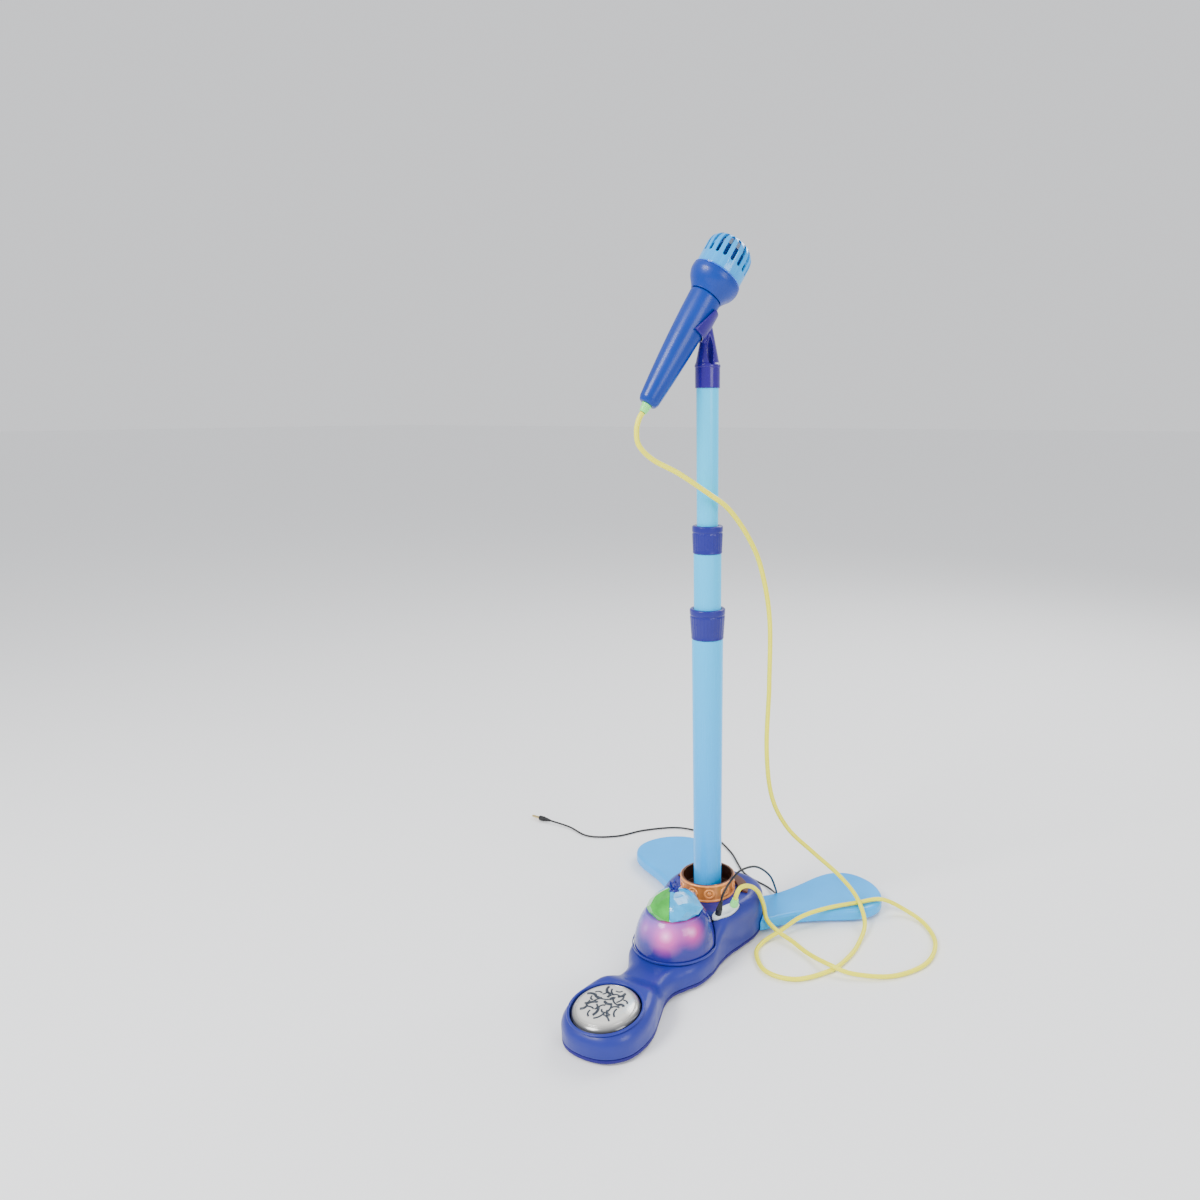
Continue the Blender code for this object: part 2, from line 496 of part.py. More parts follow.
# ---- mast ---------------------------------------------------------------------------------------
def mast():
    turned("lower_tube", [(LOWER_SPIGOT, LOWER_END), (LOWER_SPIGOT, LOWER_SHOULDER), (LOWER_R_TOP, LOWER_SHOULDER),
                          (LOWER_R_BOTTOM, 60 * MM), (LOWER_R_BOTTOM, LOWER_START), (LOWER_BORE, LOWER_START),
                          (LOWER_BORE, LOWER_END)], MAST_BLUE, steps=24)
    turned("middle_tube", [(MIDDLE_SPIGOT, MIDDLE_END), (MIDDLE_SPIGOT, MIDDLE_SHOULDER),
                           (MIDDLE_R, MIDDLE_SHOULDER), (MIDDLE_R, MIDDLE_START), (MIDDLE_BORE, MIDDLE_START),
                           (MIDDLE_BORE, MIDDLE_END)], MAST_BLUE, steps=24)
    turned("upper_tube", [(UPPER_R, UPPER_END), (UPPER_R, UPPER_START), (UPPER_BORE, UPPER_START),
                          (UPPER_BORE, UPPER_END)], MAST_BLUE, steps=24)
    for name, tube_end, spigot, tube_r, top, foot_r, head_r, shoulder in (
            ("lower", LOWER_END, LOWER_SPIGOT, MIDDLE_R, LOWER_COLLAR_TOP, 15.9 * MM, 17.3 * MM, LOWER_SHOULDER),
            ("upper", MIDDLE_END, MIDDLE_SPIGOT, UPPER_R, UPPER_COLLAR_TOP, 13.9 * MM, 14.6 * MM, MIDDLE_SHOULDER)):
        bore, lip = spigot + GAP, tube_r + 0.4 * MM
        lip_z = top - 2 * MM
        turned(f"{name}_collar", [(head_r - 1 * MM, top), (head_r, top - 1 * MM), (head_r, top - 7 * MM),
                                  (foot_r, shoulder + 5 * MM), (foot_r, shoulder + GAP), (bore, shoulder + GAP),
                                  (bore, lip_z), (lip, lip_z), (lip, top)], COLLAR_BLUE, steps=24)
        collet = turned(f"{name}_collet", [(spigot, lip_z - GAP), (spigot, tube_end + GAP),
                                           (tube_r + GAP, tube_end + GAP), (tube_r + GAP, lip_z - GAP)], WHITE,
                        steps=24)
        cut(collet, boxes(f"{name}_collet_split", [((20 * MM, 2 * MM, 30 * MM), (0, 0, top - 8 * MM))]))
        bpy.data.objects[f"{name}_collet_split"].location = (12 * MM, 0, 0)


# ---- clip and microphone ------------------------------------------------------------------------
def fork_outline():
    """The fork's U in plan: two arcs of a little over half a circle that open towards -X."""
    steps = 14
    turns = [radians(-98 + 196 * k / steps) for k in range(steps + 1)]
    outer = [((CRADLE_R + CRADLE_WALL) * cos(a), (CRADLE_R + CRADLE_WALL) * sin(a)) for a in turns]
    return outer + [(CRADLE_R * cos(a), CRADLE_R * sin(a)) for a in turns[::-1]]


def extruded(name, outline, low, high, look=None, parent=None):
    """A flat outline given thickness along Z, as a mesh that can be cut and joined."""
    curve = bpy.data.curves.new(name, "CURVE")
    curve.dimensions = "2D"
    curve.fill_mode = "BOTH"
    curve.extrude = (high - low) / 2
    line = curve.splines.new("POLY")
    line.points.add(len(outline) - 1)
    line.use_cyclic_u = True
    for point, place in zip(line.points, outline):
        point.co = (*place, 0, 1)
    drawn = bpy.data.objects.new(name + "_outline", curve)
    CUTTERS.objects.link(drawn)
    bpy.context.view_layer.update()
    mesh = bpy.data.meshes.new_from_object(drawn.evaluated_get(bpy.context.evaluated_depsgraph_get()))
    bpy.data.objects.remove(drawn)
    bm = bmesh.new()
    bm.from_mesh(mesh)
    bmesh.ops.translate(bm, verts=bm.verts, vec=(0, 0, (high + low) / 2))
    return add(name, mesh_from(bm, name), look, parent)


def mic_clip(mic):
    clip = turned("mic_clip", [(0, 580 * MM), (11.2 * MM, 580 * MM), (11.2 * MM, 559.4 * MM),
                               (10.5 * MM, 559.4 * MM), (10.5 * MM, UPPER_END + GAP), (0, UPPER_END + GAP)],
                  COLLAR_BLUE, steps=28)
    bm = bmesh.new()
    bmesh.ops.create_cone(bm, cap_ends=True, segments=24, radius1=11.2 * MM, radius2=4.5 * MM, depth=31 * MM,
                          matrix=Matrix.Translation((0, 0, 594 * MM)) @ Matrix.Diagonal((1, 0.9, 1, 1)))
    stem = add("clip_stem", mesh_from(bm, "clip_stem"))
    stem.rotation_euler = (0, 0, radians(MIC_HEADING))
    cut(clip, stem, "UNION")
    cut(clip, hole("handle_space", CRADLE_R + 0.1 * MM, -60 * MM, 10 * MM, mic))
    fork = extruded("clip_fork", fork_outline(), CRADLE_LOW, CRADLE_HIGH, parent=mic)
    low, high = CRADLE_OPEN
    taper = boxes("fork_taper", [((60 * MM, 60 * MM, 90 * MM), (-30 * MM, 0, 0))], parent=mic)
    taper.location = ((low + high) / 2, 0, (CRADLE_LOW + CRADLE_HIGH) / 2)
    taper.rotation_euler = (0, atan2(high - low, CRADLE_HIGH - CRADLE_LOW), 0)
    cut(fork, taper)
    cut(clip, fork, "UNION")
    heading = Matrix.Rotation(radians(MIC_HEADING), 4, "Z")
    for side in (-1, 1):
        recess = bmesh.new()
        place = heading @ Matrix.Translation((-1.2 * MM, side * 9.8 * MM, 591.5 * MM))
        bmesh.ops.create_uvsphere(recess, u_segments=14, v_segments=12, radius=1,
                                  matrix=place @ Matrix.Diagonal((3.4 * MM, 9 * MM, 13 * MM, 1)))
        cut(clip, add(f"clip_recess_{side}", mesh_from(recess, "clip_recess")))


def handle_radius(z):
    """The handle narrows slowly under the head and faster towards its tail."""
    down = (MIC_HANDLE_TOP - z) / (MIC_HANDLE_TOP - MIC_TAIL)
    return HANDLE_R_TOP + (HANDLE_R_TAIL - HANDLE_R_TOP) * down**1.8


def mic_handle(mic):
    tail = MIC_TAIL
    outer = [(12.4 * MM, 4 * MM), (12.4 * MM, MIC_HANDLE_TOP - GAP), (HANDLE_R_TOP, MIC_HANDLE_TOP - GAP),
             *[(handle_radius(z * MM), z * MM) for z in (-30, -55, -80)],
             (handle_radius(tail + 5 * MM), tail + 5 * MM), (handle_radius(tail) - 0.8 * MM, tail + 1 * MM),
             (handle_radius(tail) - 2 * MM, tail)]
    inner = [(4.4 * MM, tail), (4.4 * MM, tail + 2.2 * MM), (7 * MM, tail + 2.6 * MM),
             (handle_radius(-55 * MM) - HANDLE_WALL, -55 * MM), (10.8 * MM, MIC_HANDLE_TOP - 6 * MM),
             (10.8 * MM, 4 * MM)]
    far = 300 * MM
    for name, side in (("mic_handle_near", -1), ("mic_handle_far", 1)):
        half = turned(name, outer + inner, COBALT, mic, steps=28)
        aside = -side * (far / 2 - GAP / 2)
        cut(half, boxes(name + "_split", [((far, far, far), (0, aside, 0))], parent=mic))
    turned("mic_cord_grommet", [(4 * MM, tail + 5 * MM), (4 * MM, tail - 1 * MM), (3.1 * MM, tail - 8 * MM),
                                (1 * MM, tail - 8 * MM), (1 * MM, tail + 5 * MM)], PALE_GREEN, mic, steps=16)


def mic_head(mic):
    turned("mic_cup_ring", [(r * MM, z * MM) for r, z in (
        (22.1, 16), (22.5, 14.6), (22.3, 10.5), (20.4, 5.6), (17.2, 1.2), (15.1, -2.2), (14.7, -3), (12.8, -3),
        (12.8, 4.4), (17, 6.4), (20.1, 9.4), (20.1, 16))], COBALT, mic)
    outer = [(0, 49.5), (9, 48.9), (15.5, 46.6), (19.6, 42), (21, 36.5), (21, 16.3), (19.8, 16.3), (19.8, 10)]
    inner = [(18.4, 10), (18.4, 17), (19.4, 18), (19.4, 36), (18.2, 41), (14.6, 44.9), (8.6, 47.2), (0, 47.8)]
    grille = turned("mic_grille", [(r * MM, z * MM) for r, z in outer + inner], CYAN, mic, steps=36)
    size = (6.5 * MM, 2.8 * MM, 18 * MM)
    slots = [(size, (HEAD_R - 1.25 * MM, 0, 36 * MM), 360 * k / GRILLE_SLOTS) for k in range(GRILLE_SLOTS)]
    cut(grille, boxes("grille_slots", slots, parent=mic))
    foam = [(0, 43.5), (9, 42.6), (14.4, 39.5), (17.4, 34.5), (17.4, 20), (15, 20), (15, 34), (8, 39.5),
            (0, 40.5)]
    turned("mic_foam", [(r * MM, z * MM) for r, z in foam], FOAM_BLUE, mic, steps=20)
    capsule = [(0, 31.5), (4.9, 31.5), (4.9, 27), (6.4, 26), (6.4, 9), (12, 9), (12, 7), (3, 7), (3, 24),
               (0, 24)]
    turned("mic_capsule", [(r * MM, z * MM) for r, z in capsule], WHITE, mic, steps=20)


# ---- leads --------------------------------------------------------------------------------------
def plug(name, place, body, pin, look, parent=None):
    """A moulded plug: its body above local z = 0 and its metal pin below, as one turned solid."""
    (low_r, high_r, body_long), (pin_r, pin_long) = body, pin
    made = turned(name, [(high_r, body_long), (low_r, body_long * 0.35), (low_r, 0), (pin_r, 0),
                         (pin_r, -pin_long + 1 * MM), (pin_r * 0.4, -pin_long), (0.3 * MM, -pin_long),
                         (0.3 * MM, body_long)], look, parent, steps=16)
    made.matrix_local = place
    return made


def leads(jacks):
    lead("mic_cord_top", MIC_CORD_TOP, MIC_CORD_R, YELLOW)
    lead("mic_cord_middle", MIC_CORD_MIDDLE, MIC_CORD_R, YELLOW)
    lead("mic_cord_floor", MIC_CORD_FLOOR, MIC_CORD_R, YELLOW)
    lead("audio_cord", AUDIO_CORD, AUDIO_CORD_R, BLACK)
    seated = 1.1 * MM
    plug("mic_plug", Matrix.Translation((0, MIC_JACK_Y, seated)), (4.3 * MM, 3.4 * MM, 9 * MM), (1.7 * MM, 13 * MM),
         PALE_GREEN, jacks)
    plug("audio_plug", Matrix.Translation((0, AUDIO_JACK_Y, seated)), (3.4 * MM, 2.2 * MM, 17 * MM),
         (1.7 * MM, 13 * MM), BLACK, jacks)
    end, before = (Vector(AUDIO_CORD[k]) * MM for k in (-1, -2))
    way = Vector((end.x - before.x, end.y - before.y, 0)).normalized()
    lie = way.to_track_quat("-Z", "Y").to_matrix().to_4x4()
    place = Matrix.Translation(end + way * (18 * MM + GAP)) @ lie
    plug("audio_plug_free", place, (3.4 * MM, 2.2 * MM, 18 * MM), (1.7 * MM, 14 * MM), BLACK)


def main():
    clear_scene()
    jack_turn = Matrix.Rotation(radians(JACK_TURN), 4, "Z") @ Matrix.Rotation(radians(JACK_TILT), 4, "Y")
    jacks = empty("jack_frame", Matrix.Translation(JACK_CENTRE) @ jack_turn)
    pedal_z = base_top(0, PEDAL_Y)
    pedal = empty("pedal_frame", Matrix.Translation((0, PEDAL_Y, pedal_z)) @ Matrix.Rotation(FOOT_SLOPE, 4, "X"))
    mic = empty("mic_frame", Matrix.Translation((0, 0, MIC_CROSSING))
                @ Matrix.Rotation(radians(MIC_HEADING), 4, "Z")
                @ Matrix.Rotation(radians(MIC_TILT), 4, "Y"))
    base_housing(jacks, pedal)
    base_plate()
    rubber_feet()
    inside_of_base(jacks)
    lamp()
    copper_ring()
    pedal_button(pedal)
    pillow("body_clearance", BASE_OUTLINE, -5 * MM, lambda x, y: 70 * MM, BASE_EDGE, rounds=1, across=1,
           grow=0.5 * MM)
    leg("right", LEG_ANGLE)
    leg("left", 180 - LEG_ANGLE)
    mast()
    mic_clip(mic)
    mic_handle(mic)
    mic_head(mic)
    leads(jacks)


main()
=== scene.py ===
"""Looks of the toy microphone on its telescopic stand: fine shapes, materials, light and camera.

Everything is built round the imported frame, in metres. Shapes are written in millimetres and scaled by MM.
"""

import json
from math import atan2, cos, hypot, pi, radians, sin

import bmesh
import bpy
import numpy as np
from mathutils import Matrix, Vector


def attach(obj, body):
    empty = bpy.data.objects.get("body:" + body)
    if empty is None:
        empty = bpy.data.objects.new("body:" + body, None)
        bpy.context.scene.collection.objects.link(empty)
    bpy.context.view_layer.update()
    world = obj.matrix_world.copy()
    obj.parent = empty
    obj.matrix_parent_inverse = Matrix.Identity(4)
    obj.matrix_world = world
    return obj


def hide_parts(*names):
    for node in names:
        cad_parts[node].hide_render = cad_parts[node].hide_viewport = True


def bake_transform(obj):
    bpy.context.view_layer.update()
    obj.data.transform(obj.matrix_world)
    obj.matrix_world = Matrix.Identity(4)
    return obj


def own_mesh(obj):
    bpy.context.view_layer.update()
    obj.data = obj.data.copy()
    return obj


MM = 0.001
GAP = 0.3  # millimetres between pieces that touch

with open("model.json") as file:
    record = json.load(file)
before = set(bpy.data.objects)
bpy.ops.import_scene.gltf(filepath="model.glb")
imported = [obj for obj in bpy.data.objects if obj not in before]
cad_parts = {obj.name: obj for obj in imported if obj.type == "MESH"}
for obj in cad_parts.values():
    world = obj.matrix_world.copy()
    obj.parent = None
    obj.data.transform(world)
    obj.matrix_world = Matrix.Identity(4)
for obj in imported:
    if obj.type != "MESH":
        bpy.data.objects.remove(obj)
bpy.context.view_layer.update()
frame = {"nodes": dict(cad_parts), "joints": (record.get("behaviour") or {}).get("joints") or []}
NODES = frame["nodes"]
JOINTS = {joint["name"]: joint for joint in frame["joints"]}

# ---- the leads' routes, in millimetres, as the frame has them -----------------------------------------
MIC_CORD_TOP = [(-36.85, -52.62, 538.95), (-38.9, -55.5, 533.5), (-40, -58, 524), (-37.5, -58.5, 512),
                (-28, -51, 500), (-9, -38, 488), (9.9, -19.3, 471)]
MIC_CORD_MIDDLE = [(10.1, -19, 470.6), (24, -4.5, 456), (37, 12, 429), (44, 28, 397), (50, 37, 346),
                   (49.9, 40, 275)]
MIC_CORD_FLOOR = [(49.9, 40.1, 274.5), (48, 42, 207), (52, 50, 152), (66, 64, 112),
                  (90, 82, 80), (115, 99, 50), (137, 101, 26), (154, 81, 9), (158, 50, 2.7), (157, 18, 2.7),
                  (148, -14, 2.7), (122, -44, 2.7), (90, -45, 2.7), (68, -20, 2.7), (66, 4, 2.9), (77, 25, 8),
                  (92, 46, 18), (112, 74, 19.6), (139, 102, 19.4), (160, 122, 18.6), (184, 132, 7),
                  (212, 118, 2.7), (232, 84, 2.7), (232, 42, 2.7), (208, 6, 2.7), (172, -12, 5),
                  (146, -12, 8), (118, 2, 4.5), (94, 15, 5.5), (74, 22, 8.5), (60.5, 24, 18),
                  (57.2, 22, 36), (54.5, 16, 52), (52, 6, 64), (49, -6, 71.5), (45.8, -15, 72.5),
                  (43.7, -19.1, 66.5), (42.45, -18.75, 61.05)]
AUDIO_CORD = [(37.3, -42.3, 68.85), (38.6, -42.5, 75), (41, -39, 83), (43, -30, 89), (46, -14, 93),
              (51, 14, 85), (54, 44, 61), (50, 72, 30), (40, 98, 8), (20, 118, 1.5), (-18, 136, 1.5),
              (-58, 180, 1.5), (-100, 210, 1.5), (-150, 214, 1.5), (-190, 186, 1.5), (-215, 152, 1.5),
              (-250, 135, 1.5), (-288, 146, 2), (-322, 148, 3.6)]
MIC_CORD_R, AUDIO_CORD_R = 2.4, 1.2

# ---- outlines of the moulded bodies, as half plans in millimetres -------------------------------------
BASE_OUTLINE = [(0, 60), (30, 56), (48, 40), (54, 12), (50, -14), (45, -36), (43.5, -56), (44.5, -76),
                (41, -97), (33, -112), (26.5, -126), (26.5, -142), (33, -163), (39.5, -184), (41, -203),
                (36, -223), (21, -237), (0, -241)]
BASE_TOP = [(60, 52), (-38, 52), (-76, 30), (-125, 27), (-142, 27), (-168, 36.3)]
FOOT_SLOPE = 0.105
BASE_EDGE, BASE_WALL = 13, 2.4
PEDAL_STROKES = 34
CAP_RADIUS, CAP_SIDES = 27.5, 11
GRILLE_SLOTS, SLOT_WIDTH, SLOT_SPAN = 18, 3.4, (28.5, 44.5)
LEG_OUTLINE = [(0, 212), (22, 207.5), (38, 196), (45.5, 177), (43, 155), (32, 122), (25.5, 92), (26.5, 62),
               (27, 44)]
TAB_PLAY = 0.6  # room across a leg's tab in its pocket


# ---- places read from the frame -----------------------------------------------------------------------
def corners(node):
    """The different points of a CAD node."""
    found = {tuple(round(c, 6) for c in v.co) for v in NODES[node].data.vertices}
    return [Vector(p) for p in sorted(found)]


def middle(node):
    """The mean of a node's points, which lies on the axis of a turned one."""
    found = corners(node)
    return sum(found, Vector()) / len(found)


def local_frame(origin, up, forward):
    """A frame with its Z along up and its Y as near to forward as that allows."""
    z = Vector(up).normalized()
    y = Vector(forward)
    y = (y - z * y.dot(z)).normalized()
    turn = Matrix((y.cross(z), y, z)).transposed().to_4x4()
    return Matrix.Translation(origin) @ turn


def span(node, place=None):
    """Lowest and highest corner of a node in millimetres, in the frame given by place."""
    back = place.inverted() if place else Matrix.Identity(4)
    found = np.array([tuple(back @ p) for p in corners(node)]) / MM
    return Vector(found.min(0)), Vector(found.max(0))


def mic_frame():
    """Z runs up the microphone from where its axis crosses the mast, and it lifts out along -X."""
    low, high = middle("mic_cord_grommet"), middle("mic_cup_ring")
    up = (high - low).normalized()
    crossing = low + up * (-low.x / up.x)
    return local_frame(crossing, up, up.cross(-Vector(JOINTS["microphone_lift"]["axis"])))


def jack_frame():
    """Z stands out of the jack plate's face, and Y runs from the audio jack to the microphone's."""
    audio, mic = middle("audio_jack"), middle("mic_jack")
    made = local_frame((audio + mic) / 2, middle("audio_plug") - audio, mic - audio)
    return made @ Matrix.Translation((0, 0, span("jack_plate", made)[1].z * MM))


def pedal_frame():
    """Z is the pedal's axis, up from the foot of its button."""
    made = local_frame(middle("pedal_button"), -Vector(JOINTS["pedal_press"]["axis"]), (0, 1, 0))
    return made @ Matrix.Translation((0, 0, span("pedal_button", made)[0].z * MM))


def leg_frame(side):
    """Y runs out along a leg from the mast."""
    return local_frame((0, 0, 0), (0, 0, 1), JOINTS[f"{side}_leg_pull"]["axis"])


MIC, JACKS, PEDAL = mic_frame(), jack_frame(), pedal_frame()
JACK_HALF = (middle("mic_jack") - middle("audio_jack")).length / 2
LAMP = Matrix.Translation((0, middle("lamp_led_board").y, 0))


# ---- materials ----------------------------------------------------------------------------------------
def rgb(code):
    """A colour of six hexadecimal digits, as linear light."""
    parts = [int(code[k:k + 2], 16) / 255 for k in (0, 2, 4)]
    return tuple(c / 12.92 if c <= 0.04045 else ((c + 0.055) / 1.055) ** 2.4 for c in parts)


def scaled(colour, factor):
    return tuple(min(c * factor, 1) for c in colour)


def node(tree, kind, inputs=None, **settings):
    made = tree.nodes.new(kind)
    for key, value in settings.items():
        setattr(made, key, value)
    for key, value in (inputs or {}).items():
        if isinstance(value, bpy.types.NodeSocket):
            tree.links.new(value, made.inputs[key])
        else:
            made.inputs[key].default_value = value
    return made


def mixed(tree, factor, one, two):
    """Colour one where the factor is 0 and colour two where it is 1."""
    ends = [c if isinstance(c, bpy.types.NodeSocket) else (*c, 1) for c in (one, two)]
    return node(tree, "ShaderNodeMix", {0: factor, 6: ends[0], 7: ends[1]}, data_type="RGBA").outputs[2]


def stretched(tree, value, low, high, start=0.0, end=1.0):
    """value mapped from low..high to start..end, and held there beyond."""
    names = {"Value": value, "From Min": low, "From Max": high, "To Min": start, "To Max": end}
    return node(tree, "ShaderNodeMapRange", names).outputs["Result"]


def noise(tree, place, scale, detail=3.0):
    inputs = {"Vector": place, "Scale": scale, "Detail": detail}
    return node(tree, "ShaderNodeTexNoise", inputs).outputs["Fac"]


def product(tree, one, two, **settings):
    return node(tree, "ShaderNodeMath", {0: one, 1: two}, operation="MULTIPLY", **settings).outputs[0]


def height_of(tree, place):
    return node(tree, "ShaderNodeSeparateXYZ", {0: place}).outputs["Z"]


def away_from(tree, place, centre, flat=False):
    """Distance in metres from a point, or from the upright line through it."""
    offset = node(tree, "ShaderNodeVectorMath", {0: place, 1: centre}, operation="SUBTRACT").outputs[0]
    if flat:
        inputs = {0: offset, 1: (1, 1, 0)}
        offset = node(tree, "ShaderNodeVectorMath", inputs, operation="MULTIPLY").outputs[0]
    return node(tree, "ShaderNodeVectorMath", {0: offset}, operation="LENGTH").outputs["Value"]


def look(name, slot, code, rough=0.35, tone=0.08, grain=0.05, wear=0.25, hollow=0.3, cloud=22.0,
         streak=1.0, paint=None, coat=(), **sockets):
    """A moulded or painted surface: uneven tone and gloss, grain, paler worn edges, and painted shade in its
    hollows.

    streak below 1 draws the unevenness out along Z. paint(tree, place, colour) may change the colour by
    place. coat is a clear coat's weight and, where it isn't the usual one, its roughness.
    """
    colour = rgb(code)
    made = bpy.data.materials.new(name)
    made.use_nodes = True
    made["slot"] = slot
    tree = made.node_tree
    shader = tree.nodes["Principled BSDF"]
    place = node(tree, "ShaderNodeTexCoord").outputs["Object"]
    drawn = node(tree, "ShaderNodeMapping", {"Vector": place, "Scale": (1, 1, streak)}).outputs[0]
    patches = stretched(tree, noise(tree, drawn, cloud, 4.0), 0.3, 0.7)
    body = mixed(tree, patches, scaled(colour, 1 - tone), scaled(colour, 1 + tone))
    if paint:
        body = paint(tree, place, body)
    point = node(tree, "ShaderNodeNewGeometry").outputs["Pointiness"]
    body = mixed(tree, stretched(tree, point, 0.51, 0.6, 0.0, wear), body, scaled(colour, 1.5))
    # painted shade: concave places (low pointiness) are darkened towards a third of the colour
    body = mixed(tree, stretched(tree, point, 0.49, 0.42, 0.0, hollow), body, scaled(colour, 0.3))
    tree.links.new(body, shader.inputs["Base Color"])
    smudges = stretched(tree, noise(tree, drawn, cloud * 5), 0.25, 0.75, rough * 0.85, rough * 1.25)
    tree.links.new(smudges, shader.inputs["Roughness"])
    fine = noise(tree, drawn, 1800.0, 2.0)
    bump = node(tree, "ShaderNodeBump", {"Height": fine, "Strength": grain, "Distance": 0.0003})
    tree.links.new(bump.outputs[0], shader.inputs["Normal"])
    sockets.update(zip(("Coat_Weight", "Coat_Roughness"), coat))
    for socket, value in sockets.items():
        shader.inputs[socket.replace("_", " ")].default_value = value
    return made


def ring_inner_shade_paint(tree, place, colour):
    """Painted shade: darker brown on the inside of the copper ring."""
    inside = stretched(tree, away_from(tree, place, (0, 0, 0), flat=True), 0.0292, 0.0277)
    return mixed(tree, inside, colour, rgb("4A1C04"))


def bell_paint(tree, place, colour):
    """The lamp's bell: the housing's colour at its foot, clearing to a pale lilac under the cap."""
    clear = away_from(tree, place, (-0.012, middle("lamp_led_board").y - 0.03, 0.066))
    clear = stretched(tree, clear, 0.05, 0.016)
    tall = stretched(tree, height_of(tree, place), 0.034, 0.062)
    return mixed(tree, product(tree, clear, tall), colour, rgb("6E66CA"))


def tube_paint(tree, place, colour):
    """The tubes are a little paler towards the top."""
    return mixed(tree, stretched(tree, height_of(tree, place), 0.1, 0.58), colour, rgb("28D0FF"))


def pedal_rim_shade_paint(tree, place, colour):
    """Silver with painted shade: it darkens to a grey band round the button's rim."""
    away = away_from(tree, place, middle("pedal_button"))
    return mixed(tree, stretched(tree, away, 0.0245, 0.031), colour, rgb("3C3E44"))


def glow(made, spots, colour, core=(1.0, 0.4, 0.52), falloff=1.5, power=2.2):
    """Light that shows through a skin round each spot (centre, reach, strength), painted as emission."""
    tree = made.node_tree
    shader = tree.nodes["Principled BSDF"]
    place = node(tree, "ShaderNodeTexCoord").outputs["Object"]
    total = (0.0, 0.0, 0.0)
    for centre, reach, strength in spots:
        near = stretched(tree, away_from(tree, place, centre), reach, 0.0)
        near = node(tree, "ShaderNodeMath", {0: near, 1: falloff}, operation="POWER").outputs[0]
        hot = mixed(tree, stretched(tree, near, 0.55, 1.0), colour, core)
        total = mixed(tree, product(tree, near, strength, use_clamp=True), total, hot)
    tree.links.new(total, shader.inputs["Emission Color"])
    shader.inputs["Emission Strength"].default_value = power
    return made


SATIN = {"Specular_IOR_Level": 0.3}
CUT = {"tone": 0.3, "cloud": 120.0, "wear": 0.5, "coat": (0.5, 0.03), "Transmission_Weight": 0.1}

INDIGO = look("indigo_moulding", "indigo_plastic", "202A88", 0.36, coat=(0.12, 0.15), **SATIN)
# painted shade: a darker copy of the indigo plastic for the underside and the battery door, which face the
# floor
INDIGO_SHADED = look("indigo_underside_shade", "indigo_plastic", "1B106C", 0.45, **SATIN)
COLLAR = look("violet_collar", "violet_collar", "1E1F7E", 0.28, coat=(0.15, 0.1), **SATIN)
CLIP = look("violet_clip", "violet_collar", "280C7C", 0.26, coat=(0.2, 0.1), **SATIN)
MAST = look("mast_pale_blue", "mast_pale_blue", "00A8FA", 0.24, tone=0.04, grain=0.02, cloud=60.0,
            streak=0.06, paint=tube_paint, coat=(0.1, 0.05), Sheen_Weight=0.15, Sheen_Roughness=0.25, **SATIN)
LEG = look("leg_sky_blue", "leg_sky_blue", "00A8FA", 0.34, tone=0.05, wear=0.1, coat=(0.15, 0.15), **SATIN)
COBALT = look("cobalt_moulding", "cobalt_plastic", "023494", 0.32, tone=0.1, coat=(0.1, 0.15), **SATIN)
# painted highlight: a lighter copy of the cobalt plastic, for the line along the cup's rim
CUP_RIM_HIGHLIGHT = look("cup_rim_painted_highlight", "cobalt_plastic", "0060DC", 0.2, coat=(0.6,))
CYAN = look("grille_cyan", "cyan_grille", "009CE8", 0.16, tone=0.06, wear=0.3, coat=(0.3, 0.05))
FOAM = look("grille_foam", "blue_foam", "003C84", 0.9, tone=0.35, grain=1.0, cloud=900.0, wear=0.0)
# the copper carries painted shade: the ring's inside is painted dark brown and its hollows are darkened
# strongly
COPPER = look("copper_trim", "copper_trim", "FF9A48", 0.32, tone=0.14, cloud=70.0, wear=0.5, hollow=0.9,
              paint=ring_inner_shade_paint, coat=(0.25,), Metallic=0.15)
# painted shade: the copper trim's colour darkened as it looks in shade, used for the rear trim
SHADED_COPPER = look("copper_trim_in_shade", "copper_trim", "5B3222", 0.4, tone=0.2, Metallic=0.2)
SILVER = look("pedal_silver", "silver_pedal", "E4E2DC", 0.2, tone=0.05, paint=pedal_rim_shade_paint,
              coat=(0.6, 0.06), Metallic=0.45)
SLATE = look("pedal_inlay", "silver_pedal", "2C333E", 0.35, tone=0.15, Metallic=0.2)
BELL = look("lamp_bell", "lamp_diffuser", "28288C", 0.16, paint=bell_paint, coat=(0.4,), IOR=1.3,
            Transmission_Weight=0.1, Subsurface_Weight=0.2, Subsurface_Radius=(0.01, 0.004, 0.006))
GREEN = look("lamp_green", "lamp_green", "30AC30", 0.08, **CUT)
BLUE = look("lamp_blue", "lamp_blue", "00A4F0", 0.08, **CUT)
TIP = look("lamp_tip", "lamp_blue", "00087C", 0.12, tone=0.25, coat=(0.8,))
WHITE = look("white_moulding", "white_plastic", "DCE4E8")
BLACK = look("black_moulding", "black_plastic", "0E0F12", 0.42, tone=0.2)
RUBBER = look("grey_rubber", "rubber_grey", "2A2C30", 0.8, tone=0.15, grain=0.4)
STEEL = look("zinc_steel", "steel", "B0B4BA", 0.28, tone=0.1, cloud=120.0, Metallic=1.0)
GOLD = look("plug_contact", "steel", "D0BC84", 0.2, tone=0.1, Metallic=1.0)
BOARD = look("circuit_board", "circuit_board", "12592A", 0.4, tone=0.3, cloud=300.0)
CELL = look("battery_jacket", "battery_jacket", "5A5E66", 0.3, Metallic=0.6)
YELLOW = look("yellow_lead", "yellow_lead", "F6EE20", 0.38, tone=0.06, wear=0.0, grain=0.08,
              Subsurface_Weight=0.15, Subsurface_Radius=(0.003, 0.002, 0.001))
PALE_GREEN = look("pale_green_moulding", "pale_green_plug", "84F080", 0.32, coat=(0.3,))
BLACK_LEAD = look("black_lead", "black_lead", "0C0A0E", 0.4, tone=0.2, wear=0.0)


